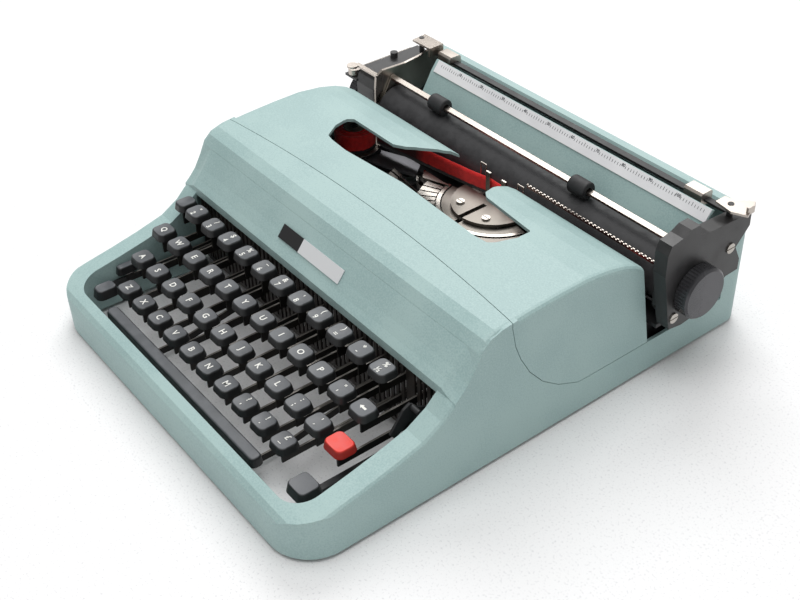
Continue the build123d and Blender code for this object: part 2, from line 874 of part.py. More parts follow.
# Ribbon colour lever
selector_x0 = selector_x - selector_thickness / 2
selector_x1 = selector_x + selector_thickness / 2
selector_shares = [
    (0.000, 0.105), (0.442, 0.629), (0.597, 1.000), (0.731, 0.839), (1.000, 0.000),
    (0.910, -0.280), (0.773, -0.070), (0.642, 0.168), (0.000, -0.105),
]
selector_points = []
for forward_share, rise_share in selector_shares:
    point_y = at(selector_depth - selector_plate_length * forward_share)
    selector_points.append((point_y, selector_height + selector_plate_rise * rise_share))
selector = side_plate(selector_points, selector_x0, selector_x1)
selector = selector + rod_along_x(
    selector_hub, selector_x0, selector_x1, at(selector_depth), selector_height,
)
selector_tip_end = selector_x1 + selector_tip_length
selector = selector + rod_along_x(
    selector_tip_radius, selector_x0, selector_tip_end, at(selector_reach_depth),
    selector_reach_height,
)
selector = selector - rod_along_x(
    selector_pin_radius + running_clearance, selector_x0 - overrun, selector_x1 + overrun,
    at(selector_depth), selector_height,
)
save(selector, "ribbon_selector")

# Chassis: two side plates, cross bars, lugs, spool brackets and a plinth
def chassis_side(side):
    x0 = side * (chassis_half_width - chassis_plate)
    x1 = side * chassis_half_width
    points = [
        (
            at(chassis_front_depth), chassis_bottom,
        ), (at(chassis_front_depth), selector_height + selector_hub),
        (at(high_part_start), chassis_high_top), (at(high_part_end), chassis_high_top),
        (at(high_part_end) + chassis_plate * 3, chassis_low_top), (at(chassis_back_depth), chassis_low_top),
        (at(chassis_back_depth), chassis_bottom),
    ]
    holes = [
        (fulcrum_y, fulcrum_height, bore_radius),
        (at(front_rail_depth), rail_height, rail_radius + running_clearance),
        (at(rear_rail_depth), rail_height, rail_radius + running_clearance),
    ]
    plate = bored_plate(points, min(x0, x1), max(x0, x1), holes)
    shell_inner = side * (body_width / 2 - shell_wall)
    for lug_depth in (front_lug_depth, rear_lug_depth):
        plate = plate + box_between(
            x0, shell_inner, at(lug_depth), at(lug_depth) + lug_length, chassis_bottom,
            chassis_bottom + lug_height,
        )
    bracket = box_between(
        x0, side * bracket_inner_x, at(spool_depth) - lug_length, at(spool_depth) + lug_length,
        chassis_high_top - bracket_thickness, chassis_high_top,
    )
    return plate + bracket + post(
        spindle_radius, side * spool_x, at(spool_depth), chassis_high_top - bracket_thickness,
        spool_bottom + spool_height + spool_flange,
    )


inner_reach = chassis_half_width - chassis_plate
chassis = chassis_side(1) + chassis_side(-1)
bar_top = chassis_bottom + cross_bar_height
chassis = chassis + box_between(
    -inner_reach, inner_reach, comb_y + comb_thickness,
    comb_y + comb_thickness + cross_bar_length, chassis_bottom, bar_top,
)
chassis = chassis + box_between(
    -inner_reach, inner_reach, at(pedestal_start), at(pedestal_end), chassis_bottom, bar_top,
)
chassis = chassis + box_between(
    -inner_reach, inner_reach, at(chassis_back_depth) - cross_bar_length,
    at(chassis_back_depth), chassis_bottom, chassis_low_top - rail_radius * 2,
)
chassis = chassis + box_between(
    type_x - pedestal_half_width, type_x + pedestal_half_width, at(pedestal_start),
    at(pedestal_end), chassis_bottom, segment_bottom,
)
chassis = chassis + rod_along_x(
    selector_pin_radius, selector_x0, inner_reach + running_clearance, at(selector_depth),
    selector_height,
)
drum_plate = box_between(
    drum_x - drum_radius, bell_x + bell_radius, at(drum_depth) - bell_radius,
    at(chassis_back_depth) - cross_bar_length, chassis_bottom,
    chassis_bottom + drum_plate_thickness,
)
chassis = chassis + drum_plate
chassis = chassis + post(drum_pin_radius, drum_x, at(drum_depth), chassis_bottom, drum_bottom + drum_height)
chassis = chassis + post(bell_post_radius, bell_x, at(bell_depth), chassis_bottom, bell_bottom)
save(chassis, "chassis_frame")

# Rubber feet: two plugged into the rims in front, two under the rear lugs
feet = []
for side in (1, -1):
    feet.append(post(foot_radius, side * foot_x, at(front_foot_depth), 0, front_foot_top))
    feet.append(post(foot_radius, side * foot_x, at(rear_lug_depth) + lug_length / 2, 0, chassis_bottom))
save(Compound(feet), "rubber_feet")

# Mainspring drum and margin bell at the back of the chassis
drum = post(drum_radius, drum_x, at(drum_depth), drum_bottom, drum_bottom + drum_height)
drum = drum - post(drum_pin_radius + running_clearance, drum_x, at(drum_depth), 0, body_height)
drum = drum - (post(
    drum_radius + overrun, drum_x, at(drum_depth),
    drum_bottom + drum_height * drum_groove_low_share,
    drum_bottom + drum_height * drum_groove_high_share,
) - post(drum_radius * drum_core_share, drum_x, at(drum_depth), 0, body_height))
save(drum, "mainspring_drum")
bell = post(bell_radius, bell_x, at(bell_depth), bell_bottom, bell_bottom + bell_height)
bell = fillet(bell.faces().sort_by(Axis.Z)[-1].edges(), bell_height * bell_round_share)
bell = bell - post(
    bell_radius - bell_wall, bell_x, at(bell_depth), bell_bottom + bell_wall,
    bell_bottom + bell_height * bell_hollow_share,
)
bell = bell - post(bell_radius - bell_wall * 3, bell_x, at(bell_depth), 0, body_height)
bell = bell + post(bell_post_radius * 2, bell_x, at(bell_depth), bell_bottom, bell_bottom + bell_height)
spider = box_between(
    bell_x - bell_radius + bell_wall, bell_x + bell_radius - bell_wall,
    at(bell_depth) - bell_post_radius, at(bell_depth) + bell_post_radius, bell_bottom,
    bell_bottom + bell_wall,
)
bell = bell + spider
save(bell, "margin_bell")


# Type basket: a slotted arc holds the typebars, which rest like a fan
def fan_angle(index):
    return typebar_fan * index / (typebar_count - 1) - typebar_fan / 2


centre_y = at(basket_depth)
sector_reach = math.radians(typebar_fan / 2 + segment_fan_margin)


def arc_block(inner, outer, z0, z1):
    ring = post(outer, type_x, centre_y, z0, z1) - post(inner, type_x, centre_y, z0 - overrun, z1 + overrun)
    far = outer * 3
    wedge = [(type_x, centre_y)]
    for turn_share in (-1, -0.5, 0, 0.5, 1):
        turn = sector_reach * turn_share
        wedge.append((type_x + far * math.sin(turn), centre_y - far * math.cos(turn)))
    return ring & flat_plate(wedge, z0, z1)


segment = arc_block(segment_inner, segment_outer, segment_bottom, segment_top)
cutter = box_between(
    -segment_slot / 2, segment_slot / 2, -segment_outer - overrun,
    -segment_inner + segment_slot_overrun, segment_floor, segment_top + overrun,
)
cutters = [Pos(
    type_x, centre_y, 0,
) * Rot(0, 0, fan_angle(index)) * cutter for index in range(typebar_count)]
segment = segment - cutters
plinth = post(segment_inner, type_x, centre_y, segment_bottom, segment_plinth_top)
plinth = plinth & box_between(
    type_x - segment_inner, type_x + segment_inner, centre_y - segment_inner, at(column_end),
    segment_bottom, segment_plinth_top,
)
column = box_between(
    type_x - column_half_width, type_x + column_half_width, at(column_start), at(column_end),
    segment_bottom, cap_bottom,
)
cap = post(cap_radius, type_x, at(cap_depth), cap_bottom, cap_bottom + cap_thickness)
cap = cap & box_between(
    type_x - cap_radius, type_x + cap_radius, at(cap_depth) - cap_radius, at(cap_depth),
    cap_bottom, cap_bottom + cap_thickness,
)
notch = box_between(
    type_x - cap_slot / 2, type_x + cap_slot / 2, at(cap_depth) - cap_radius - overrun,
    at(cap_slot_end), segment_plinth_top, cap_bottom + overrun,
)
segment = segment + plinth + ((column + cap) - notch)
save(segment, "type_segment")

cap_top = cap_bottom + cap_thickness
screws = []
for side in (1, -1):
    x = type_x + side * screw_spread
    head = post(screw_head_radius, x, at(screw_depth), cap_top, cap_top + screw_head_height)
    slot = box_between(
        x - screw_head_radius, x + screw_head_radius, at(screw_depth) - screw_slot_width / 2,
        at(screw_depth) + screw_slot_width / 2, cap_top + screw_head_height / 2,
        cap_top + screw_head_height,
    )
    screws.append(head - slot)
save(Compound(screws), "segment_screws")

# One typebar, drawn towards the front of the machine from its pivot
bar_run = typebar_reach - pivot_radius
bar_slope = math.atan2(typebar_rise, bar_run)
bar_length = math.hypot(bar_run, typebar_rise)
half_bar = typebar_height / 2
half_thick = typebar_thickness / 2
bar_outline = [(0, -half_bar), (-bar_length, -half_bar), (-bar_length, half_bar), (0, half_bar)]
flat_bar = side_plate(
    bar_outline, -half_thick, half_thick,
) + rod_along_x(half_bar, -half_thick, half_thick, 0, 0)
slug = Pos(0, -bar_length, 0) * Box(slug_width, slug_length, slug_height)
typebar = Pos(0, -pivot_radius, pivot_height) * Rot(-math.degrees(bar_slope), 0, 0) * (flat_bar + slug)
middle_bar = typebar_count // 2
resting_bars = []
for index in range(typebar_count):
    placed = Pos(type_x, centre_y, 0) * Rot(0, 0, fan_angle(index)) * typebar
    if index == middle_bar:
        save(placed, "action_typebar")
    else:
        resting_bars.append(placed)
save(Compound(resting_bars), "typebars")

# Padded arc on which the typebars rest, carried on two legs
rest = arc_block(
    rest_radius - rest_width / 2, rest_radius + rest_width / 2, rest_top - rest_height,
    rest_top,
)
for side in (1, -1):
    leg_x = type_x + side * rest_radius * math.sin(sector_reach)
    leg_y = centre_y - rest_radius * math.cos(sector_reach)
    rest = rest + box_between(
        leg_x - rest_leg_length / 2, leg_x + rest_leg_length / 2, leg_y - rest_leg_length / 2,
        leg_y + rest_leg_length / 2, bar_top, rest_top - rest_height / 2,
    )
save(rest, "typebar_rest")

# Ribbon spools with their windings
for side, name in ((-1, "left"), (1, "right")):
    x = side * spool_x
    y = at(spool_depth)
    spool = post(spool_radius, x, y, spool_bottom, spool_bottom + spool_flange)
    spool = spool + post(spool_hub_radius, x, y, spool_bottom, spool_bottom + spool_height)
    spool = spool + post(
        spool_cap_radius, x, y, spool_bottom + spool_height - spool_flange,
        spool_bottom + spool_height,
    )
    spool = spool - post(spindle_radius + running_clearance, x, y, 0, body_height)
    save(spool, "ribbon_spool_" + name)
    winding = post(
        winding_radius, x, y, spool_bottom + spool_flange,
        spool_bottom + spool_height - spool_flange,
    )
    winding = winding - post(spool_hub_radius, x, y, 0, body_height)
    save(winding, "ribbon_winding_" + name)

# The ribbon between the spools, held up in front of the platen
ribbon_turn = math.radians(ribbon_wrap_angle)
ribbon_leave = winding_radius + ribbon_thickness
ribbon_line = [
    (
        -spool_x + ribbon_leave * math.sin(ribbon_turn),
        at(spool_depth) + ribbon_leave * math.cos(ribbon_turn),
    ),
    (type_x - ribbon_guide_spread, at(ribbon_guide_depth)),
    (type_x - vibrator_half_width, at(ribbon_depth)),
    (type_x + vibrator_half_width, at(ribbon_depth)),
    (type_x + ribbon_guide_spread, at(ribbon_guide_depth)),
    (
        spool_x - ribbon_leave * math.sin(ribbon_turn),
        at(spool_depth) + ribbon_leave * math.cos(ribbon_turn),
    ),
]
ribbon_outline = ribbon_line + [(x, y + ribbon_thickness) for x, y in reversed(ribbon_line)]
save(flat_plate(ribbon_outline, ribbon_bottom, ribbon_bottom + ribbon_width), "ribbon")

# Vibrator that lifts the ribbon, with a window for the type
vibrator = box_between(
    type_x - vibrator_half_width, type_x + vibrator_half_width, at(vibrator_depth),
    at(vibrator_depth) + vibrator_thickness, vibrator_window_bottom - vibrator_stem,
    vibrator_top,
)
vibrator = vibrator - box_between(
    type_x - vibrator_window, type_x + vibrator_window, at(vibrator_depth) - overrun,
    at(vibrator_depth) + overrun, vibrator_window_bottom, body_height,
)
vibrator = vibrator + box_between(
    type_x - vibrator_stem, type_x + vibrator_stem, at(vibrator_depth),
    at(vibrator_depth) + vibrator_thickness, vibrator_bottom, vibrator_window_bottom,
)
save(vibrator, "ribbon_vibrator")

# Card holders: a tab with a hooked wire each side of the printing point
holders = []
for side in (1, -1):
    x = type_x + side * holder_spread
    tab_front = at(cap_depth) - holder_tab_width / 2
    tab = box_between(
        x - holder_tab_width / 2, x + holder_tab_width / 2, tab_front,
        at(holder_wire_depth) + holder_wire_radius, cap_bottom - holder_tab_thickness,
        cap_bottom,
    )
    upright = post(
        holder_wire_radius, x, at(holder_wire_depth), cap_bottom - holder_tab_thickness,
        holder_wire_top - holder_wire_radius,
    )
    over = Pos(
        x + holder_hook_length / 2, at(holder_wire_depth), holder_wire_top - holder_wire_radius,
    ) * Rot(0, 90, 0) * Cylinder(holder_wire_radius, holder_hook_length)
    down = post(
        holder_wire_radius, x + holder_hook_length, at(holder_wire_depth),
        holder_wire_top - holder_hook_drop, holder_wire_top - holder_wire_radius,
    )
    elbows = Pos(
        x, at(holder_wire_depth), holder_wire_top - holder_wire_radius,
    ) * Sphere(holder_wire_radius)
    elbows = elbows + Pos(
        x + holder_hook_length, at(holder_wire_depth), holder_wire_top - holder_wire_radius,
    ) * Sphere(holder_wire_radius)
    holders.append(tab + upright + over + down + elbows)
save(Compound(holders), "card_holders")

# Aligning scale with its teeth, held by the disc of the right end plate
scale_start = type_x + holder_spread + holder_hook_length + holder_wire_radius
scale_end = right_plate_inner - right_disc_length
scale_front = at(scale_depth)
scale_back = scale_front + scale_thickness
scale_top = scale_bottom + scale_height
scale = box_between(scale_start, scale_end, scale_front, scale_back, scale_bottom, scale_top)
tooth_pitch = (scale_end - scale_start) / scale_teeth
tooth_gap = tooth_pitch / 4
tooth_floor = scale_top - scale_tooth_depth
for index in range(scale_teeth):
    tooth_x = scale_start + tooth_pitch * (index + 0.5)
    notch = box_between(
        tooth_x - tooth_gap, tooth_x + tooth_gap, scale_front - overrun, scale_back + overrun,
        tooth_floor, body_height,
    )
    scale = scale - notch
save(scale, "aligning_scale")

# Rails that the carriage runs on
rails = []
for depth in (front_rail_depth, rear_rail_depth):
    rails.append(rod_along_x(rail_radius, -chassis_half_width, chassis_half_width, at(depth), rail_height))
save(Compound(rails), "carriage_rails")

# Carriage bed with ribs, and the curved trough that leads paper round the platen
platen_y = at(platen_depth)
bed_top = bed_bottom + bed_thickness
bed = box_between(
    left_plate_inner, right_plate_inner, at(bed_front_depth), at(bed_back_depth), bed_bottom,
    bed_top,
)
trough_inner = platen_radius + trough_gap
trough_outer = trough_inner + trough_thickness
trough_left = platen_left + trough_gap
trough_right = platen_right - trough_gap
for x in (trough_left, type_x, trough_right - trough_rib):
    bed = bed + box_between(
        x, x + trough_rib, platen_y - trough_rib, platen_y + trough_rib, bed_top,
        platen_height - trough_outer,
    )
save(bed, "carriage_bed")
trough = rod_along_x(trough_outer, trough_left, trough_right, platen_y, platen_height)
trough = trough - rod_along_x(
    trough_inner, trough_left - overrun, trough_right + overrun, platen_y, platen_height,
)
half_sweep = math.radians(trough_sweep / 2)
far = trough_outer * 3
sector = side_plate([
    (platen_y, platen_height),
    (platen_y - far * math.sin(half_sweep), platen_height - far * math.cos(half_sweep)),
    (platen_y, platen_height - far),
    (platen_y + far * math.sin(half_sweep), platen_height - far * math.cos(half_sweep)),
], trough_left, trough_right)
trough = trough & sector
trough = trough - box_between(
    trough_left, trough_right, platen_y - trough_rib * 2, platen_y + trough_rib * 2, 0,
    platen_height - trough_outer,
)
save(trough, "paper_trough")

# End plate outlines, as shares of the end plates' length and rise
right_plate_top_share = 0.889
right_plate_shares = [
    (0.153, 0.034), (0.132, 0.123), (0.076, 0.445), (0.036, 0.671), (0.035, 0.897),
    (0.069, 0.985), (0.181, 1.010), (0.264, 1.058), (0.361, 1.058), (0.382, 0.945),
    (0.486, 0.921), (0.965, right_plate_top_share), (0.968, 0.752), (0.833, 0.577), (0.903, 0.416),
    (0.903, 0.300), (0.764, 0.292), (0.431, 0.026), (0.290, 0.008),
]
left_plate_shares = [
    (0.153, 0.034), (0.165, 0.640), (0.182, 0.811), (0.258, 0.863), (0.524, 0.850),
    (0.700, 0.870), (0.920, 0.930), (0.940, 0.640), (0.640, 0.420), (0.520, 0.100),
    (0.431, 0.026), (0.290, 0.008),
]
left_cover_top_share = 0.800
left_cover_shares = [
    (0.153, 0.034), (0.160, 0.640), (0.185, 0.745), (0.240, left_cover_top_share),
    (0.900, left_cover_top_share), (0.955, 0.740), (0.930, 0.600), (0.764, 0.292),
    (0.431, 0.026), (0.290, 0.008),
]
plate_screw_shares = [(0.1875, 0.147), (0.764, 0.606)]


def plate_points(shares):
    return [(
        at(plate_base_depth + a * plate_length), plate_base_height + b * plate_rise,
    ) for a, b in shares]


shaft_hole = (platen_y, platen_height, shaft_radius + running_clearance)
right_plate = bored_plate(
    plate_points(right_plate_shares), right_plate_inner, right_plate_outer, [shaft_hole],
)
bail_bore = (at(bail_pivot_depth), bail_pivot_height, bail_pin_radius + running_clearance)
disc = rod_along_x(
    right_disc_radius, right_plate_inner - right_disc_length, right_plate_inner, platen_y,
    platen_height,
)
disc = disc & box_between(
    right_plate_inner - right_disc_length, right_plate_inner,
    at(bed_front_depth) - shaft_radius, at(body_depth), bed_top, body_height,
)
disc = disc - rod_along_x(
    shaft_hole[2], right_plate_inner - overrun, right_plate_outer, platen_y, platen_height,
)
disc = disc + rod_along_x(
    bail_pin_radius, right_plate_inner - right_disc_length * 2, right_plate_inner,
    at(bail_pivot_depth), bail_pivot_height,
)
right_plate_top = plate_base_height + right_plate_top_share * plate_rise
right_pin = post(
    release_pin_radius, right_release_x, at(right_release_depth),
    right_plate_top - release_pin_radius, release_height + release_thickness + fit,
)
right_plate = right_plate + disc + right_pin
save(right_plate, "right_end_plate")
left_plate = bored_plate(plate_points(left_plate_shares), left_plate_outer, left_plate_inner, [shaft_hole])
left_plate = left_plate + rod_along_x(
    bail_pin_radius, left_plate_inner, left_plate_inner + right_disc_length,
    at(bail_pivot_depth), bail_pivot_height,
)
link = box_between(
    lobe_x, left_plate_inner, at(link_depth), at(link_depth) + link_width, link_bottom,
    link_bottom + link_thickness,
)
lobe = post(lobe_radius, lobe_x, at(lobe_depth), link_bottom, link_bottom + link_thickness)
left_plate = left_plate + link + lobe
save(left_plate, "left_side_plate")
left_cover = bored_plate(plate_points(left_cover_shares), left_cover_outer, left_plate_outer, [shaft_hole])
shelf_top = lever_bottom - fit
shelf = box_between(
    -half_span, left_cover_outer, at(lever_pivot_depth) - lever_boss_radius,
    at(lever_pivot_depth) + lever_boss_radius, shelf_top - lever_shelf_thickness, shelf_top,
)
left_cover = left_cover + shelf + post(
    lever_pin_radius, lever_pivot_x, at(lever_pivot_depth), shelf_top - lever_shelf_thickness,
    lever_bottom + lever_thickness_at_boss + fit,
)
left_cover_top = plate_base_height + left_cover_top_share * plate_rise
left_cover = left_cover + post(
    release_pin_radius, left_release_x, at(left_release_depth),
    left_cover_top - release_pin_radius * 2, release_height + release_thickness + fit,
)
left_cover = left_cover + post(
    rest_cap_radius, rest_cap_x, at(rest_cap_depth), left_cover_top,
    left_cover_top + rest_cap_height,
)
save(left_cover, "left_end_cover")

# Slotted screws in the face of the right end plate
plate_screws = []
for depth_share, height_share in plate_screw_shares:
    screw_y = at(plate_base_depth + depth_share * plate_length)
    screw_z = plate_base_height + height_share * plate_rise
    head = rod_along_x(
        plate_screw_radius, right_plate_outer, right_plate_outer + plate_screw_height, screw_y,
        screw_z,
    )
    slot = box_between(
        right_plate_outer + plate_screw_height / 2, right_plate_outer + overrun,
        screw_y - plate_screw_radius, screw_y + plate_screw_radius,
        screw_z - screw_slot_width / 2, screw_z + screw_slot_width / 2,
    )
    plate_screws.append(head - slot)
save(Compound(plate_screws), "end_plate_screws")

# Platen, its shaft, the ratchet wheel and the knobs
platen = rod_along_x(platen_radius, platen_left, platen_right, platen_y, platen_height)
platen = platen - rod_along_x(
    shaft_radius, platen_left - overrun, platen_right + overrun, platen_y, platen_height,
)
save(platen, "platen")
shaft = rod_along_x(shaft_radius, -half_span + knob_edge, half_span - knob_edge, platen_y, platen_height)


def knurled_knob(outer_x, inner_x):
    knob = rod_along_x(knob_radius, outer_x, inner_x, platen_y, platen_height)
    outer_face = knob.faces().sort_by(Axis.X)[-1 if outer_x > inner_x else 0]
    knob = chamfer(outer_face.edges(), knob_edge)
    cuts = []
    for index in range(knob_ribs):
        turn = math.radians(360 * index / knob_ribs)
        cut_y = platen_y + knob_radius * math.cos(turn)
        cut_z = platen_height + knob_radius * math.sin(turn)
        cuts.append(rod_along_x(
            knob_rib_depth, outer_x - math.copysign(knob_edge * 2, outer_x), inner_x, cut_y,
            cut_z,
        ))
    knob = knob - cuts
    core = rod_along_x(
        shaft_radius, inner_x, outer_x - math.copysign(knob_edge, outer_x), platen_y,
        platen_height,
    )
    return knob - core


save(
    Compound([
        knurled_knob(half_span, half_span - knob_length),
        knurled_knob(-half_span, -half_span + knob_length),
    ]),
    "platen_knobs",
)
tooth_turn = math.pi * 2 / ratchet_teeth
ratchet_outline = []
for index in range(ratchet_teeth):
    for turn_share, radius in (
        (0, ratchet_radius), (ratchet_tooth_share, ratchet_radius - ratchet_tooth_depth),
    ):
        turn = tooth_turn * (index + turn_share)
        ratchet_outline.append((
            platen_y + radius * math.cos(turn), platen_height + radius * math.sin(turn),
        ))
ratchet_end = left_plate_inner + (platen_left - left_plate_inner) * ratchet_set_share
shaft = shaft + side_plate(ratchet_outline, ratchet_end, platen_left)
save(shaft, "platen_shaft")

# Paper table with its legs, and the ruler on its sloping top
table_front = [
    (at(table_bottom_depth), table_bottom), (at(table_bend_depth), table_bend),
    (at(table_top_depth), table_top),
]
table_back = [(
    y + table_thickness, z - table_thickness * table_lean_share,
) for y, z in reversed(table_front)]
table = side_plate(table_front + table_back, table_left, table_right)
for x in (table_left + table_leg_width, type_x, table_right - table_leg_width * 2):
    leg = [
        (at(table_top_depth), bed_top), (at(table_top_depth), table_bend - table_leg_length),
        (
            at(table_bend_depth) + table_thickness, table_bend - table_thickness,
        ), (at(table_top_depth), table_top - table_thickness),
        (
            at(table_top_depth) + table_thickness, table_top - table_leg_width,
        ), (at(table_top_depth) + table_thickness, table_bend),
        (
            at(table_top_depth) + table_leg_length, table_bend - table_leg_length,
        ), (at(table_top_depth) + table_leg_length, bed_top),
    ]
    table = table + side_plate(leg, x, x + table_leg_width)
save(table, "paper_table")
slope_run = table_top_depth - table_bend_depth
slope_rise = table_top - table_bend
slope_length = math.hypot(slope_run, slope_rise)
lift_y = -ruler_thickness * slope_rise / slope_length
lift_z = ruler_thickness * slope_run / slope_length
ruler_points = [
    table_front[1], table_front[2], (table_front[2][0] + lift_y, table_front[2][1] + lift_z),
    (table_front[1][0] + lift_y, table_front[1][1] + lift_z),
]
save(side_plate(ruler_points, ruler_left, ruler_right), "ruler")

# Margin rail and its two sliding stops
rail_y0 = at(margin_rail_depth) - margin_rail_width / 2
rail_y1 = at(margin_rail_depth) + margin_rail_width / 2
margin_rail = box_between(
    left_plate_inner, right_plate_inner, rail_y0, rail_y1, margin_rail_bottom,
    margin_rail_bottom + margin_rail_thickness,
)
save(margin_rail, "margin_rail")
for x, name in ((left_stop_x, "left"), (right_stop_x, "right")):
    stop = box_between(
        x - stop_width / 2, x + stop_width / 2, at(margin_rail_depth) - stop_length / 2,
        at(margin_rail_depth) + stop_length / 2, stop_bottom, stop_bottom + stop_height,
    )
    stop = chamfer(stop.edges().filter_by(Axis.X), knob_edge)
    hole = box_between(
        x - stop_width, x + stop_width, rail_y0 - running_clearance,
        rail_y1 + running_clearance, margin_rail_bottom - running_clearance,
        margin_rail_bottom + margin_rail_thickness + running_clearance,
    )
    save(stop - hole, "margin_stop_" + name)

# Paper bail: a flat bar on two swinging arms, with two rubber rollers
bail_z = platen_height + platen_radius + bail_roller_radius + fit
bail_y = at(bail_depth)
pivot_y = at(bail_pivot_depth)
bail_left_x = left_plate_inner + bail_arm_gap
bail_right_x = right_plate_inner - right_disc_length - bail_arm_gap
bail = box_between(
    bail_left_x, bail_right_x, bail_y - bail_bar_width / 2, bail_y + bail_bar_width / 2,
    bail_z - bail_bar_thickness / 2, bail_z + bail_bar_thickness / 2,
)
arm_half = bail_arm_width / 2
arm_points = [
    (pivot_y - arm_half, bail_pivot_height), (bail_y - arm_half, bail_z),
    (bail_y + arm_half, bail_z), (pivot_y + arm_half, bail_pivot_height),
]
for x0, x1 in (
    (bail_left_x, bail_left_x + bail_arm_thickness),
    (bail_right_x - bail_arm_thickness, bail_right_x),
):
    arm = side_plate(arm_points, x0, x1) + rod_along_x(
        arm_half, x0, x1, pivot_y, bail_pivot_height,
    ) + rod_along_x(arm_half, x0, x1, bail_y, bail_z)
    bail = bail + arm
bail = bail - rod_along_x(bail_bore[2], -half_span, half_span, pivot_y, bail_pivot_height)
save(bail, "paper_bail")
for x, name in ((left_roller_x, "left"), (right_roller_x, "right")):
    half_roller = bail_roller_length / 2
    roller = rod_along_x(bail_roller_radius, x - half_roller, x + half_roller, bail_y, bail_z)
    roller = fillet(roller.edges().filter_by(GeomType.CIRCLE), knob_edge)
    save(
        roller - rod_along_x(bail_roller_bore, x - half_roller * 2, x + half_roller * 2, bail_y, bail_z),
        "bail_roller_" + name,
    )

# Carriage return lever, folded back along the left end
lever_y = at(lever_pivot_depth)
lever_top = lever_bottom + lever_thickness_at_boss
half_lever = lever_width / 2
blade = box_between(
    lever_pivot_x - half_lever, lever_pivot_x + half_lever, lever_y,
    at(lever_end_depth) - half_lever, lever_bottom, lever_bottom + lever_plate,
)
return_lever = blade + post(
    half_lever, lever_pivot_x, at(lever_end_depth) - half_lever, lever_bottom,
    lever_bottom + lever_plate,
)
return_lever = return_lever + post(lever_boss_radius, lever_pivot_x, lever_y, lever_bottom, lever_top)
return_lever = return_lever - post(
    lever_pin_radius + running_clearance, lever_pivot_x, lever_y, 0, body_height,
)
save(return_lever, "return_lever")

# Release levers on the carriage ends, as shares of their lengths
release_top = release_height + release_thickness
right_release_shares = [
    (-0.250, -0.145), (-0.250, 0.130), (-0.020, 0.155), (0.140, 0.345), (0.260, 0.410),
    (0.470, -0.070), (0.175, -0.210), (-0.070, -0.170),
]
left_release_shares = [
    (-0.090, -0.330), (-0.150, 0.270), (0.850, 0.270), (0.850, -0.330),
]


def release_blade(shares, length, x, y):
    outline = [(x + a * length, y + b * length) for a, b in shares]
    blade = flat_plate(outline, release_height, release_top)
    return blade - post(release_pin_radius + running_clearance, x, y, 0, body_height * 2)


right_release_y = at(right_release_depth)
right_release = release_blade(right_release_shares, right_release_length, right_release_x, right_release_y)
lip_front = right_release_x + right_release_length * right_release_shares[5][0]
lip_y0 = right_release_y + right_release_length * right_release_shares[5][1]
right_lip = box_between(
    lip_front - release_thickness * 2, lip_front - release_thickness,
    lip_y0 + release_thickness, lip_y0 + release_thickness * 5, release_height,
    release_top + release_lip_height,
)
right_release = right_release + right_lip
save(right_release, "carriage_release_lever")
left_release_y = at(left_release_depth)
left_release = release_blade(left_release_shares, left_release_length, left_release_x, left_release_y)
flap_x = left_release_x + left_release_length * left_release_shares[2][0]
flap_y0 = left_release_y + left_release_length * left_release_shares[3][1]
flap_y1 = left_release_y + left_release_length * left_release_shares[2][1]
left_flap = box_between(
    flap_x - release_thickness, flap_x, flap_y0, flap_y1,
    margin_rail_bottom + margin_rail_thickness + fit * 2, release_top,
)
left_release = left_release + left_flap
save(left_release, "paper_release_lever")

# Two-tone badge lying on the slope
slope_points = profile_points(slope_profile_shares)
badge_low = slope_points[1]
badge_high = slope_points[3]
slope_y = badge_high[0] - badge_low[0]
slope_z = badge_high[1] - badge_low[1]
slope_size = math.hypot(slope_y, slope_z)
badge_y = slope_y / slope_size
badge_z = slope_z / slope_size
middle_y = (badge_low[0] + badge_high[0]) / 2
middle_z = (badge_low[1] + badge_high[1]) / 2
badge_outline = []
for along_share, out_share in ((-0.5, 0), (0.5, 0), (0.5, 1), (-0.5, 1)):
    along = badge_width * along_share
    out = badge_thickness * out_share + running_clearance
    badge_outline.append((
        middle_y + badge_y * along - badge_z * out, middle_z + badge_z * along + badge_y * out,
    ))
badge_split = badge_left + (badge_right - badge_left) * badge_share
badge_parts = [
    side_plate(badge_outline, badge_left, badge_split),
    side_plate(badge_outline, badge_split + running_clearance, badge_right),
]
save(Compound(badge_parts), "badge_plate")
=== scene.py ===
import math
import bpy
import bmesh
from mathutils import Matrix, Vector


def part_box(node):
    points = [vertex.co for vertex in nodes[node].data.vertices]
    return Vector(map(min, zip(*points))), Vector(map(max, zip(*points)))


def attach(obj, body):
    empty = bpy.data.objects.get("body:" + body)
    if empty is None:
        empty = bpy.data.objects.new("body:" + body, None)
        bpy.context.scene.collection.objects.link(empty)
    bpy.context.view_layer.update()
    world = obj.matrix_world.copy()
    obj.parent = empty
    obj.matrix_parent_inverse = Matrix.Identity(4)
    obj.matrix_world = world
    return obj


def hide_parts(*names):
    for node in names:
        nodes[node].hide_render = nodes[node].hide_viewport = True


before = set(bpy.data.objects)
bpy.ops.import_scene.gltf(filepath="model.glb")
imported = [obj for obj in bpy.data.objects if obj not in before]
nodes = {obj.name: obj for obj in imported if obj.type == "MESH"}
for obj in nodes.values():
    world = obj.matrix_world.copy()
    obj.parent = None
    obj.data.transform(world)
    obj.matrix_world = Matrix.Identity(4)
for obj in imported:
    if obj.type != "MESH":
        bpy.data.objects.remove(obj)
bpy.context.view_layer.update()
mm = 0.001
bodyDepth = 325.0  # depths below count from the front edge, as a rule lies on the table
mouldedDepth = 0.0002  # metres of relief on mouldings, paint and cloth
drawnDepth = 0.00005  # metres of relief on drawn metal
edgeBlur = 0.05  # mm, half the width of the line between two finishes on one piece
lineLength = 60  # length of a drawn line on metal, in widths of the line
smoothAngle = 35  # degrees; sharper edges stay crisp


def at(depth):  # depth from the front edge, in mm, to Y in metres
    return (depth - bodyDepth / 2) * mm


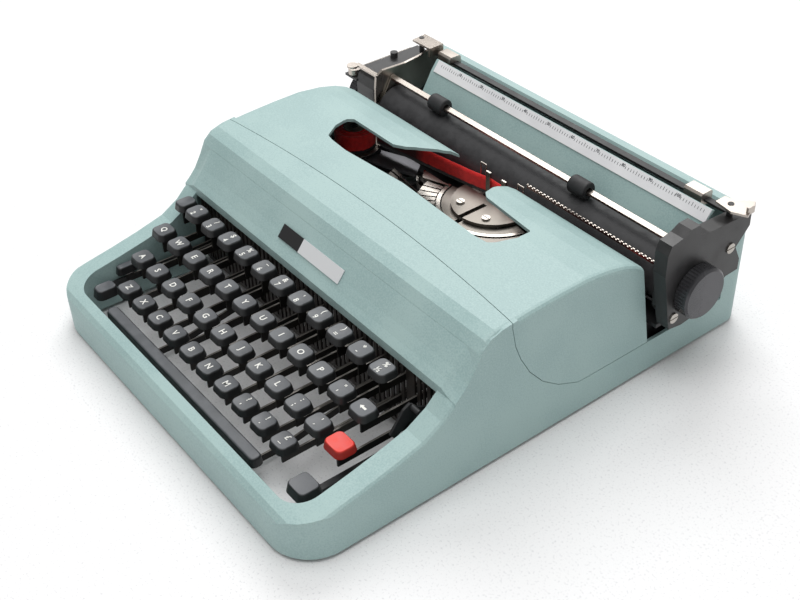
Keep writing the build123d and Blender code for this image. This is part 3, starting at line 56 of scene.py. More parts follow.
# sRGB hex to linear RGBA
def linear(hexColour):
    parts = [int(hexColour[i:i + 2], 16) / 255 for i in (1, 3, 5)]
    parts = [c / 12.92 if c <= 0.04045 else ((c + 0.055) / 1.055) ** 2.4 for c in parts]
    return (*parts, 1.0)


# A shader node with its settings, links from input name to output socket, and ramp stops
def addNode(tree, kind, settings=None, links=None, stops=None):
    node = tree.nodes.new("ShaderNode" + kind)
    for name, value in (settings or {}).items():
        if isinstance(name, int) or name in node.inputs:
            node.inputs[name].default_value = value
        else:
            setattr(node, name, value)
    for name, socket in (links or {}).items():
        tree.links.new(socket, node.inputs[name])
    if stops:
        elements = node.color_ramp.elements
        while len(elements) < len(stops):
            elements.new(0.5)
        for element, (place, colour) in zip(elements, stops):
            element.position = place
            element.color = linear(colour)
    return node


# An empty material, its tree and its coordinates in metres
def startMaterial(name):
    material = bpy.data.materials.new(name)
    material.use_nodes = True
    tree = material.node_tree
    tree.nodes.clear()
    place = addNode(tree, "TexCoord").outputs["Object"]
    return material, tree, place


# The surface shader and the output, with a fine relief
def endMaterial(tree, settings, links, relief):
    shader = addNode(tree, "BsdfPrincipled", settings, links)
    height, strength, distance = relief
    bump = addNode(tree, "Bump", {"Strength": strength, "Distance": distance}, {"Height": height})
    tree.links.new(bump.outputs["Normal"], shader.inputs["Normal"])
    addNode(tree, "OutputMaterial", links={"Surface": shader.outputs["BSDF"]})


# Roughness that varies with a noise: its range, the mean roughness, and how far below and above
def sheenFrom(tree, noise, span, mean, spread):
    ends = {"From Min": span[0], "From Max": span[1], "To Min": mean - spread[0], "To Max": mean + spread[1]}
    return addNode(tree, "MapRange", ends, {"Value": noise})


# Noise scale for a pattern of this size in mm
def perMm(size):
    return 1000.0 / size


# Camera solved from the key tops and the ruler marks: place in metres, angles in degrees, lens in mm
cameraSpec = {
    "place": (0.4809, -0.3492, 0.4717), "azimuth": 53.7, "height": 37.7, "roll": -2.1, "lens": 54.86,
    "sensor": 36, "clip": (0.01, 50),
}


def makeCamera(spec):
    azimuth, height, roll = (math.radians(spec[key]) for key in ("azimuth", "height", "roll"))
    level = math.cos(height)
    back = Vector((math.sin(azimuth) * level, -math.cos(azimuth) * level, math.sin(height)))
    forward = -back
    right = forward.cross(Vector((0, 0, 1))).normalized()
    up = right.cross(forward)
    rolledRight = math.cos(roll) * right + math.sin(roll) * up
    rolledUp = -math.sin(roll) * right + math.cos(roll) * up
    data = bpy.data.cameras.new("camera")
    data.lens = spec["lens"]
    data.sensor_width = spec["sensor"]
    data.clip_start, data.clip_end = spec["clip"]
    camera = bpy.data.objects.new("camera", data)
    turn = Matrix((rolledRight, rolledUp, back)).transposed()
    camera.matrix_world = Matrix.Translation(spec["place"]) @ turn.to_4x4()
    bpy.context.collection.objects.link(camera)
    bpy.context.scene.camera = camera


makeCamera(cameraSpec)
bpy.context.scene.view_settings.view_transform = "Standard"
print("camera set")


# Soft light from a big window, the ceiling and the front
lightSpec = {
    "worldStrength": 0.47, "worldColour": "#F6F5F3",
    "lamps": [  # name, place, aim, size, watts
        ("windowLamp", (-0.9, 0.9, 1.5), (0.0, 0.0, 0.05), 1.3, 21.0),
        ("topLamp", (0.2, -0.2, 1.9), (0.0, 0.0, 0.0), 1.6, 20.0),
        ("frontLamp", (1.3, -1.1, 1.0), (0.0, 0.0, 0.04), 1.2, 1.0),
    ],
}


def makeLight(spec):
    world = bpy.data.worlds.new("studio")
    world.use_nodes = True
    background = world.node_tree.nodes["Background"]
    background.inputs["Color"].default_value = linear(spec["worldColour"])
    background.inputs["Strength"].default_value = spec["worldStrength"]
    bpy.context.scene.world = world
    for name, place, aim, size, watts in spec["lamps"]:
        data = bpy.data.lights.new(name, "AREA")
        data.shape = "DISK"
        data.size = size
        data.energy = watts
        lamp = bpy.data.objects.new(name, data)
        lamp.location = place
        lamp.rotation_euler = (Vector(aim) - Vector(place)).to_track_quat("-Z", "Y").to_euler()
        bpy.context.collection.objects.link(lamp)


makeLight(lightSpec)


# White laminate table top, pressed: pale, dull, with faint grey specks that lie in soft pits;
# the specks are drawn coarse enough to show
floorSpec = {
    "halfSize": 6.0, "colour": "#EDEDEE", "speck": "#DADADC", "speckMm": 1.3, "roughness": 0.6,
    "ior": 1.45, "gloss": 0.3, "relief": 0.12, "reliefDepth": 0.0003,
}


def speckledLaminate(spec):
    material, tree, place = startMaterial("speckledLaminate")
    grit = {"Scale": perMm(spec["speckMm"]), "Detail": 2.0, "Roughness": 0.5}
    noise = addNode(tree, "TexNoise", grit, {"Vector": place})
    stops = [(0.30, spec["speck"]), (0.42, spec["colour"])]
    colour = addNode(tree, "ValToRGB", links={"Fac": noise.outputs["Fac"]}, stops=stops)
    settings = {"Roughness": spec["roughness"], "IOR": spec["ior"], "Specular IOR Level": spec["gloss"]}
    relief = (noise.outputs["Fac"], spec["relief"], spec["reliefDepth"])
    endMaterial(tree, settings, {"Base Color": colour.outputs["Color"]}, relief)
    return material


def makeFloor(spec):
    half = spec["halfSize"]
    mesh = bpy.data.meshes.new("floor")
    corners = [(-half, -half, 0), (half, -half, 0), (half, half, 0), (-half, half, 0)]
    mesh.from_pydata(corners, [], [(0, 1, 2, 3)])
    floor = bpy.data.objects.new("floor", mesh)
    bpy.context.collection.objects.link(floor)
    mesh.materials.append(speckledLaminate(spec))


makeFloor(floorSpec)
print("light and floor set")


# Crinkle-finish stoving enamel on sheet aluminium: soft low sheen, fine leathery grain
enamelSpec = {
    "deep": "#92ADAC", "colour": "#9AB4B3", "rubbed": "#A1BAB8", "grainMm": 0.9, "cloudMm": 45,
    "cloudShare": 0.8, "roughness": 0.5, "ior": 1.5, "relief": 0.11, "reliefDepth": 0.0002,
}


def crinkleEnamel(name, spec):
    material, tree, place = startMaterial(name)
    cloud = addNode(tree, "TexNoise", {"Scale": perMm(spec["cloudMm"]), "Detail": 2.0}, {"Vector": place})
    fine = {"Scale": perMm(spec["grainMm"]), "Detail": 2.0, "Roughness": 0.5}
    grain = addNode(tree, "TexNoise", fine, {"Vector": place})
    share = {"operation": "MULTIPLY_ADD", 1: spec["cloudShare"]}
    mixed = addNode(tree, "Math", share, {0: cloud.outputs["Fac"], 2: grain.outputs["Fac"]})
    stops = [(0.66, spec["deep"]), (0.88, spec["colour"]), (1.0, spec["rubbed"])]
    colour = addNode(tree, "ValToRGB", links={"Fac": mixed.outputs["Value"]}, stops=stops)
    rough = sheenFrom(tree, cloud.outputs["Fac"], (0.3, 0.7), spec["roughness"], (0.06, 0.08))
    relief = (grain.outputs["Fac"], spec["relief"], spec["reliefDepth"])
    links = {"Base Color": colour.outputs["Color"], "Roughness": rough.outputs["Result"]}
    endMaterial(tree, {"IOR": spec["ior"]}, links, relief)
    return material


# Urea moulding of a key cap: satin crown, duller skirt painted dark on the faces that look sideways as
# painted shade, and below the split the black steel lever with a painted highlight on its faces that look up
keySpec = {
    # the side colour is painted shade on the sideways faces of the caps; the lever edge colour is a painted
    # highlight on the lever faces that look up
    "crown": "#494C50", "crownWorn": "#5A5D61", "side": "#191A1B", "lever": "#262524", "leverHighlight": "#8B8782",
    "facing": (0.55, 0.97), "patchMm": 9, "grainMm": 0.5, "roughness": 0.42, "leverMetal": 0.7, "ior": 1.5,
    "relief": 0.1, "reliefDepth": 0.0002,
}
# the red key's side colour is painted shade on its sideways faces too
redSpec = dict(keySpec, crown="#D42716", crownWorn="#E0351F", side="#9A1B10")


# The split is (axis, place in mm, 1 for the cap above it and -1 for the cap below it)
def mouldedUrea(name, spec, split=None):
    material, tree, place = startMaterial(name)
    normal = addNode(tree, "TexCoord").outputs["Normal"]
    up = addNode(tree, "SeparateXYZ", links={"Vector": normal})
    low, high = spec["facing"]
    facing = addNode(tree, "MapRange", {"From Min": low, "From Max": high}, {"Value": up.outputs["Z"]})
    wear = {"Scale": perMm(spec["patchMm"]), "Detail": 3.0}
    worn = addNode(tree, "TexNoise", wear, {"Vector": place})
    stops = [(0.4, spec["crown"]), (0.7, spec["crownWorn"])]
    crown = addNode(tree, "ValToRGB", links={"Fac": worn.outputs["Fac"]}, stops=stops)
    # the faces that look sideways take the side colour: painted shade
    shadedCapMix = {"data_type": "RGBA", 6: linear(spec["side"])}
    cap = addNode(tree, "Mix", shadedCapMix, {0: facing.outputs["Result"], 7: crown.outputs["Color"]})
    colour = cap.outputs[2]
    grain = addNode(tree, "TexNoise", {"Scale": perMm(spec["grainMm"]), "Detail": 2.0}, {"Vector": place})
    rough = sheenFrom(tree, worn.outputs["Fac"], (0.35, 0.7), spec["roughness"], (0.08, 0.1))
    links = {"Roughness": rough.outputs["Result"]}
    if split:
        axis, edge, side = split
        along = addNode(tree, "SeparateXYZ", links={"Vector": place}).outputs[axis]
        edges = {"From Min": (edge - edgeBlur * side) * mm, "From Max": (edge + edgeBlur * side) * mm}
        above = addNode(tree, "MapRange", edges, {"Value": along})
        # the lever faces that look up take the edge colour: painted highlight
        leverHighlightMix = {"data_type": "RGBA", 6: linear(spec["lever"]), 7: linear(spec["leverHighlight"])}
        steel = addNode(tree, "Mix", leverHighlightMix, {0: facing.outputs["Result"]})
        halves = {0: above.outputs["Result"], 6: steel.outputs[2], 7: colour}
        both = addNode(tree, "Mix", {"data_type": "RGBA"}, halves)
        colour = both.outputs[2]
        metal = {"To Min": spec["leverMetal"], "To Max": 0.0}
        shine = addNode(tree, "MapRange", metal, {"Value": above.outputs["Result"]})
        links["Metallic"] = shine.outputs["Result"]
    links["Base Color"] = colour
    relief = (grain.outputs["Fac"], spec["relief"], spec["reliefDepth"])
    endMaterial(tree, {"IOR": spec["ior"]}, links, relief)
    return material


# Painted, moulded or rubber surfaces: two close colours, a grain and an uneven sheen
def mottled(name, spec):
    material, tree, place = startMaterial(name)
    patches = {"Scale": perMm(spec["patchMm"]), "Detail": 3.0, "Roughness": 0.6}
    patch = addNode(tree, "TexNoise", patches, {"Vector": place})
    stops = [(0.38, spec["dark"]), (0.64, spec["light"])]
    colour = addNode(tree, "ValToRGB", links={"Fac": patch.outputs["Fac"]}, stops=stops)
    grain = addNode(tree, "TexNoise", {"Scale": perMm(spec["grainMm"]), "Detail": 3.0}, {"Vector": place})
    rough = sheenFrom(tree, patch.outputs["Fac"], (0.35, 0.68), spec["roughness"], (0.07, 0.08))
    settings = {"IOR": 1.5, "Metallic": spec.get("metallic", 0.0)}
    links = {"Base Color": colour.outputs["Color"], "Roughness": rough.outputs["Result"]}
    endMaterial(tree, settings, links, (grain.outputs["Fac"], spec.get("relief", 0.12), mouldedDepth))
    return material


# Metals with a direction: drawn lines along one axis, coarser than real ones so that they show, and
# cloudy handling marks over them; an edge colour, where given, is a painted highlight on the faces that look
# up
def drawnMetal(name, spec):
    material, tree, place = startMaterial(name)
    stretch = [perMm(spec["lineMm"])] * 3
    stretch["XYZ".index(spec["along"])] = perMm(spec["lineMm"] * lineLength)
    lines = addNode(tree, "Mapping", {"Scale": stretch}, {"Vector": place})
    drawn = addNode(tree, "TexNoise", {"Scale": 1.0, "Detail": 3.0}, {"Vector": lines.outputs["Vector"]})
    clouds = {"Scale": perMm(spec.get("cloudMm", 30)), "Detail": 2.0}
    cloud = addNode(tree, "TexNoise", clouds, {"Vector": place})
    stops = [(0.36, spec["dark"]), (0.62, spec["light"])]
    colour = addNode(tree, "ValToRGB", links={"Fac": cloud.outputs["Fac"]}, stops=stops).outputs["Color"]
    if "edge" in spec:
        normal = addNode(tree, "TexCoord").outputs["Normal"]
        up = addNode(tree, "SeparateXYZ", links={"Vector": normal})
        low, high = spec["facing"]
        facing = addNode(tree, "MapRange", {"From Min": low, "From Max": high}, {"Value": up.outputs["Z"]})
        # faces that look up take the edge colour: painted highlight
        highlightMix = {"data_type": "RGBA", 7: linear(spec["edge"])}
        colour = addNode(tree, "Mix", highlightMix, {0: facing.outputs["Result"], 6: colour}).outputs[2]
    rough = sheenFrom(tree, cloud.outputs["Fac"], (0.3, 0.7), spec["roughness"], (0.07, 0.09))
    links = {"Base Color": colour, "Roughness": rough.outputs["Result"]}
    relief = (drawn.outputs["Fac"], spec.get("relief", 0.08), drawnDepth)
    endMaterial(tree, {"Metallic": spec.get("metallic", 1.0)}, links, relief)
    return material


# Badge: satin plate whose left part is filled with black enamel, with a lightly brushed face; the
# brushed lines are drawn coarse enough to show
badgeSpec = {
    "black": "#17181A", "silver": "#DADCDE", "splitMm": -12.6, "lineMm": 0.25, "lineLength": 40,
    "roughness": 0.34, "metallic": 0.2, "relief": 0.06, "reliefDepth": 0.0001,
}


def twoToneBadge(name, spec):
    material, tree, place = startMaterial(name)
    across = addNode(tree, "SeparateXYZ", links={"Vector": place}).outputs["X"]
    edges = {"From Min": (spec["splitMm"] - edgeBlur) * mm, "From Max": (spec["splitMm"] + edgeBlur) * mm}
    right = addNode(tree, "MapRange", edges, {"Value": across})
    tones = {"data_type": "RGBA", 6: linear(spec["black"]), 7: linear(spec["silver"])}
    colour = addNode(tree, "Mix", tones, {0: right.outputs["Result"]})
    fine = perMm(spec["lineMm"])
    stretch = {"Scale": (perMm(spec["lineMm"] * spec["lineLength"]), fine, fine)}
    lines = addNode(tree, "Mapping", stretch, {"Vector": place})
    brushed = addNode(tree, "TexNoise", {"Scale": 1.0, "Detail": 2.0}, {"Vector": lines.outputs["Vector"]})
    metal = {"To Min": 0.0, "To Max": spec["metallic"]}
    shine = addNode(tree, "MapRange", metal, {"Value": right.outputs["Result"]})
    links = {"Base Color": colour.outputs[2], "Metallic": shine.outputs["Result"]}
    relief = (brushed.outputs["Fac"], spec["relief"], spec["reliefDepth"])
    endMaterial(tree, {"Roughness": spec["roughness"]}, links, relief)
    return material


# Every finish by the name that the pieces below use
finishes = {
    "casing": crinkleEnamel("crinkleStovingEnamel", enamelSpec),
    "badge": twoToneBadge("twoToneBrushedPlate", badgeSpec),
    "key": mouldedUrea("satinUreaMoulding", keySpec),
    # caps that share a node with their lever: moulding above the split, blackened steel below it
    "homeKey": mouldedUrea("satinUreaOnHomeLever", keySpec, ("Z", 35.7, 1)),
    "upperKey": mouldedUrea("satinUreaOnUpperLever", keySpec, ("Z", 44.9, 1)),
    "marginKey": mouldedUrea("satinUreaOnMarginLever", keySpec, ("Z", 54.8, 1)),
    "lockKey": mouldedUrea("satinUreaOnLockLever", keySpec, ("Z", 26.0, 1)),
    "spaceKey": mouldedUrea("satinUreaSpaceBar", keySpec, ("Y", 25.0 - bodyDepth / 2, -1)),
    # pigmented moulding of the tabulator key: warm red crown, skirt painted deeper red on its sideways faces
    # as painted shade
    "redKey": mouldedUrea("redUreaMoulding", redSpec, ("Z", 35.7, 1)),
    # matt black stoving enamel of chassis, carriage and frames: dull, a little dusty
    "blackEnamel": mottled("mattBlackStovingEnamel", {
        "dark": "#1A1B1C", "light": "#2B2C2E", "patchMm": 12, "grainMm": 0.6, "roughness": 0.5}),
    # comb sheet: browned steel, dull
    "brownedSteel": mottled("brownedSteelSheet", {
        "dark": "#2F2B28", "light": "#433D39", "patchMm": 7, "grainMm": 0.4, "roughness": 0.45,
        "metallic": 0.4}),
    # die-cast end plate under thin dark paint: warm black, soft sheen
    "darkPaint": mottled("satinDarkPaintedDiecast", {
        "dark": "#1F1F20", "light": "#2C2B2C", "patchMm": 10, "grainMm": 0.4, "roughness": 0.4}),
    # black moulding of the left end cover: charcoal, slightly scuffed
    "blackMoulding": mottled("satinBlackMoulding", {
        "dark": "#242425", "light": "#39393A", "patchMm": 8, "grainMm": 0.4, "roughness": 0.42}),
    # anodised knobs: dark grey metal with a satin rim
    "knobMetal": mottled("satinAnodisedKnob", {
        "dark": "#444447", "light": "#525255", "patchMm": 25, "grainMm": 0.3, "roughness": 0.28,
        "metallic": 0.55, "relief": 0.04}),
    # ground platen rubber, hardened with age: near black, velvety
    "platenRubber": mottled("groundPlatenRubber", {
        "dark": "#29292B", "light": "#363638", "patchMm": 6, "grainMm": 0.35, "roughness": 0.6,
        "relief": 0.2}),
    # soft moulded rubber of feet and bail rollers: black, dull
    "softRubber": mottled("softBlackRubber", {
        "dark": "#1E1E20", "light": "#2A2A2C", "patchMm": 5, "grainMm": 0.5, "roughness": 0.62}),
    # key levers: blackened pressed steel, with a painted highlight on the faces that look up
    "leverSteel": drawnMetal("blackenedPressedSteel", {
        "dark": "#242322", "light": "#34322F", "edge": "#8B8782", "facing": (0.6, 0.95), "lineMm": 0.3,
        "along": "Y", "roughness": 0.38, "metallic": 0.7}),
    # ground steel of typebars, vibrator, fulcrum rod, screws, drum and bell: warm, bright
    "barSteel": drawnMetal("groundTypebarSteel", {
        "dark": "#A6A19A", "light": "#C4BFB8", "lineMm": 0.25, "along": "Y", "roughness": 0.26}),
    # slotted segment and its cap: duller, greyer steel
    "segmentSteel": drawnMetal("dullMilledSteel", {
        "dark": "#7A756F", "light": "#8F8A83", "lineMm": 0.3, "along": "X", "roughness": 0.42}),
    # arm of the ribbon reverse: grey passivated sheet
    "greySteel": drawnMetal("greyPassivatedSheet", {
        "dark": "#6C6C70", "light": "#7E7E82", "lineMm": 0.3, "along": "X", "roughness": 0.45,
        "metallic": 0.6}),
    # ground steel of rails and platen shaft: a little darker, with its lines along the carriage
    "railSteel": drawnMetal("groundSteel", {
        "dark": "#A29C94", "light": "#BFB9B0", "lineMm": 0.25, "along": "X", "roughness": 0.28}),
    # nickel plate: warm, bright, slightly clouded by handling
    "nickel": drawnMetal("polishedNickelPlate", {
        "dark": "#ADA59D", "light": "#C0B8B0", "lineMm": 0.3, "along": "X", "roughness": 0.3, "cloudMm": 60,
        "relief": 0.015}),
    # eggshell aluminium of the ruler: pale, hardly shiny
    "rulerMetal": drawnMetal("eggshellAluminium", {
        "dark": "#E0E0E3", "light": "#EAEAEC", "lineMm": 0.3, "along": "X", "roughness": 0.5,
        "metallic": 0.1}),
    # legends moulded into the caps: ivory, satin
    "legendPaint": mottled("ivoryLegendFilling", {
        "dark": "#DADAD4", "light": "#E8E8E3", "patchMm": 2, "grainMm": 0.3, "roughness": 0.5}),
    # printing ink of the ruler: dark grey, satin
    "printInk": mottled("greyPrintingInk", {
        "dark": "#3C3D42", "light": "#505156", "patchMm": 3, "grainMm": 0.3, "roughness": 0.5}),
}
print("materials made:", len(finishes))


# The nodes that wear each finish
nodeFinish = {
    "casing": ["lower_shell", "top_cover", "paper_table"],
    "blackEnamel": [
        "chassis_frame", "carriage_bed", "paper_trough", "typebar_rest", "ribbon_selector", "shift_frame",
        "margin_rail",
    ],
    "brownedSteel": ["comb_plate"],
    "key": [
        "number_row_keycaps", "upper_row_keycaps", "home_row_keycaps", "bottom_row_keycaps", "shift_keycaps",
    ],
    "homeKey": ["home_row_action_key"],
    "upperKey": ["backspace_key"],
    "marginKey": ["margin_release_key"],
    "lockKey": ["shift_lock_key"],
    "spaceKey": ["space_bar"],
    "redKey": ["tab_key"],
    "darkPaint": ["right_end_plate"],
    "blackMoulding": ["left_end_cover"],
    "knobMetal": ["platen_knobs"],
    "platenRubber": ["platen"],
    "softRubber": ["rubber_feet", "bail_roller_left", "bail_roller_right"],
    "leverSteel": ["number_row_levers", "upper_row_levers", "home_row_levers", "bottom_row_levers"],
    "segmentSteel": ["type_segment"],
    "barSteel": [
        "segment_screws", "typebars", "action_typebar", "ribbon_vibrator", "key_fulcrum_rod",
        "mainspring_drum", "margin_bell", "end_plate_screws",
    ],
    "railSteel": ["carriage_rails", "platen_shaft"],
    "nickel": [
        "left_side_plate", "aligning_scale", "margin_stop_left", "margin_stop_right", "paper_bail",
        "return_lever", "carriage_release_lever", "paper_release_lever", "ribbon_spool_left",
        "ribbon_spool_right", "card_holders",
    ],
    "rulerMetal": ["ruler"],
    "badge": ["badge_plate"],
}
for finish, names in nodeFinish.items():
    for name in names:
        for slot in nodes[name].material_slots:
            slot.material = finishes[finish]
print("node finishes set")


# A mesh with its finish and slot that rides its body, smoothed by angle unless it is flat
def addPiece(name, mesh, body, finish, smooth=True):
    piece = bpy.data.objects.new(name, mesh)
    bpy.context.collection.objects.link(piece)
    mesh.materials.append(finishes[finish] if isinstance(finish, str) else finish)
    if smooth:
        mesh.polygons.foreach_set("use_smooth", [True] * len(mesh.polygons))
        mesh.set_sharp_from_angle(angle=math.radians(smoothAngle))
    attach(piece, body)
    return piece


# One mesh from (mesh, matrix) pairs
def joinMeshes(name, parts):
    joined = bmesh.new()
    for mesh, matrix in parts:
        start = len(joined.verts)
        joined.from_mesh(mesh)
        joined.verts.ensure_lookup_table()
        bmesh.ops.transform(joined, matrix=matrix, verts=joined.verts[start:])
    mesh = bpy.data.meshes.new(name)
    joined.to_mesh(mesh)
    joined.free()
    return mesh


# A flat sheet from outline points in mm, as (x, depth), between two heights
def sheetMesh(name, outline, low, high):
    sheet = bmesh.new()
    lower = [sheet.verts.new((x * mm, at(depth), low * mm)) for x, depth in outline]
    upper = [sheet.verts.new((x * mm, at(depth), high * mm)) for x, depth in outline]
    sheet.faces.new(lower)
    sheet.faces.new(upper)
    for k in range(len(outline)):
        m = (k + 1) % len(outline)
        sheet.faces.new((lower[k], lower[m], upper[m], upper[k]))
    bmesh.ops.recalc_face_normals(sheet, faces=sheet.faces)
    mesh = bpy.data.meshes.new(name)
    sheet.to_mesh(mesh)
    sheet.free()
    return mesh


# White legends moulded into the crowns: one letter, or two small signs above each other
legendSpec = {
    "size": 5.4, "smallSize": 4.8, "apart": 2.8, "sink": 0.5, "proud": 0.14, "depth": 0.05, "weight": 0.018,
    "pairLift": 0.06, "curveSteps": 3, "pitch": 19.0, "firstX": [-119.4, -109.9, -105.15, -95.65],
    "rowDepth": [87.8, 68.0, 49.3, 33.1], "rowTop": [59.4, 49.5, 40.3, 30.0],
    "bodies": ["number_row_keys", "upper_row_keys", "home_row_keys", "bottom_row_keys"],
    "actionKey": (2, 5), "arrowKey": (1, 11),  # row and place of the keys that are nodes of their own
    "arrow": [(-2.6, 0), (-0.6, 1.5), (-0.6, 0.7), (2.4, 0.7), (2.4, -0.7), (-0.6, -0.7), (-0.6, -1.5)],
}
rowLegends = [
    [
        None, ('"', "2"), ("/", "3"), ("$", "4"), ("%", "5"), ("_", "6"), ("&", "7"), ("'", "8"), ("(", "9"),
        (")", "="), ("*", "-"), ("%", "\u00bd"),
    ],
    [*"QWERTYUIOP", ('"', "'")],
    [*"ASDFGHJKL", (":", ";"), ("'", "\u00b4")],
    [*"ZXCVBNM", ("?", ","), ("!", "."), ("\u00a3", "_")],
]


# One sign as a thin raised mesh, centred
def signMesh(text, size, spec):
    curve = bpy.data.curves.new("sign", "FONT")
    curve.body = text
    curve.size = size * mm
    curve.extrude = spec["depth"] * mm
    curve.offset = spec["weight"] * size * mm
    curve.align_x = "CENTER"
    curve.align_y = "CENTER"
    curve.resolution_u = spec["curveSteps"]
    holder = bpy.data.objects.new("sign", curve)
    bpy.context.collection.objects.link(holder)
    bpy.context.view_layer.update()
    mesh = bpy.data.meshes.new_from_object(holder.evaluated_get(bpy.context.evaluated_depsgraph_get()))
    bpy.data.objects.remove(holder)
    if len(mesh.vertices):
        xs = [v.co.x for v in mesh.vertices]
        ys = [v.co.y for v in mesh.vertices]
        mesh.transform(Matrix.Translation((-(min(xs) + max(xs)) / 2, -(min(ys) + max(ys)) / 2, 0)))
    return mesh


def makeLegends(spec):
    for row, signs in enumerate(rowLegends):
        groups = {}
        for place, sign in enumerate(signs):
            if sign is None:
                continue
            x = spec["firstX"][row] + spec["pitch"] * place
            body = "action_key" if (row, place) == spec["actionKey"] else spec["bodies"][row]
            z = (spec["rowTop"][row] - spec["sink"] + spec["proud"]) * mm
            if isinstance(sign, tuple):
                lifted = z + spec["pairLift"] * mm
                for text, shift in zip(sign, (spec["apart"], -spec["apart"])):
                    spot = Matrix.Translation((x * mm, at(spec["rowDepth"][row] + shift), lifted))
                    groups.setdefault(body, []).append((signMesh(text, spec["smallSize"], spec), spot))
            else:
                spot = Matrix.Translation((x * mm, at(spec["rowDepth"][row]), z))
                groups.setdefault(body, []).append((signMesh(sign, spec["size"], spec), spot))
        for body, parts in groups.items():
            name = body + "_legends"
            addPiece(name, joinMeshes(name, parts), body, "legendPaint", smooth=False)


# A solid arrow pointing left on the backspace key
def makeBackspaceArrow(spec):
    row, place = spec["arrowKey"]
    x = (spec["firstX"][row] + spec["pitch"] * place) * mm
    y = at(spec["rowDepth"][row])
    z = (spec["rowTop"][row] - spec["sink"] + spec["proud"] + spec["depth"]) * mm
    corners = [(x + a * mm, y + b * mm, z) for a, b in spec["arrow"]]
    mesh = bpy.data.meshes.new("backspace_arrow")
    mesh.from_pydata(corners, [], [tuple(reversed(range(len(corners))))])
    addPiece("backspace_arrow", mesh, "backspace_lever", "legendPaint", smooth=False)


makeLegends(legendSpec)
makeBackspaceArrow(legendSpec)
print("legends made")


# Printed scale: a short tick each character, longer at five, numbers at every ten
rulerSpec = {
    "front": (277.0, 90.0), "rear": (282.0, 96.6), "thickness": 0.8, "zeroX": -99.17, "pitch": 2.117,
    "count": 111, "line": 0.34, "short": 1.7, "middle": 2.3, "lift": 0.06, "numberSize": 2.7, "tickFoot": 4.7,
    "numberRise": 0.62, "lastX": 130.0,
}


def makeRulerMarks(spec):
    front, rear = spec["front"], spec["rear"]
    run, rise = rear[0] - front[0], rear[1] - front[1]
    length = math.hypot(run, rise)
    lift = spec["thickness"] + spec["lift"]
    base = Vector((0, at(front[0] - lift * rise / length), (front[1] + lift * run / length) * mm))
    along = Vector((0, run / length, rise / length)) * mm
    ticks = bmesh.new()
    for k in range(spec["count"]):
        x = spec["zeroX"] + spec["pitch"] * k
        if k % 10 == 0:
            continue
        size = spec["middle"] if k % 5 == 0 else spec["short"]
        half = spec["line"] / 2
        start = spec["tickFoot"]
        corners = [(x - half, start), (x + half, start), (x + half, start + size), (x - half, start + size)]
        ticks.faces.new([ticks.verts.new(base + along * v + Vector((u * mm, 0, 0))) for u, v in corners])
    mesh = bpy.data.meshes.new("ruler_ticks")
    ticks.to_mesh(mesh)
    ticks.free()
    addPiece("ruler_ticks", mesh, "carriage", "printInk", smooth=False)
    tilt = math.atan2(rise, run)
    parts = []
    for k in range(1, spec["count"] // 10 + 1):
        x = spec["zeroX"] + spec["pitch"] * k * 10
        if x > spec["lastX"]:
            continue
        numberRow = spec["tickFoot"] + spec["numberSize"] * spec["numberRise"]
        spot = base + along * numberRow + Vector((x * mm, 0, 0))
        turn = Matrix.Translation(spot) @ Matrix.Rotation(tilt, 4, "X")
        parts.append((signMesh(str(k * 10), spec["numberSize"], legendSpec), turn))
    name = "ruler_numbers"
    addPiece(name, joinMeshes(name, parts), "carriage", "printInk", smooth=False)


makeRulerMarks(rulerSpec)
print("ruler marked")


# Inked nylon ribbon, half an inch wide, woven plain: red above, black below, dull; its threads are
# drawn coarse enough to show
ribbonSpec = {
    "red": "#F02824", "redDeep": "#DC1C1E", "black": "#19191B", "split": 58.6, "splitEdge": (0.3, 0.9),
    "bleedMm": 3, "bleed": 1.2, "threadMm": 0.55, "roughness": 0.62, "sheen": 0.25, "relief": 0.35,
    # outside the stretch given here the tape is darkened towards black: painted shade under the cover
    "unshadedStretch": (-17.0, 38.0), "coverShadeEdge": 8.0, "low": 56.2, "high": 68.7, "strips": 4,
    "thickness": 0.18, "flex": 0.3, "flexTurn": 0.5, "steps": 8, "plan": [
        (-97.8, 224.1), (-75, 227.7), (-52, 231.4), (-30, 234.9), (-14, 237.5), (-3, 239.9), (6, 240.0),
        (15, 239.9), (26, 237.5), (39, 235.1), (50, 233.0), (75, 228.4), (97.8, 224.1),
    ],
}


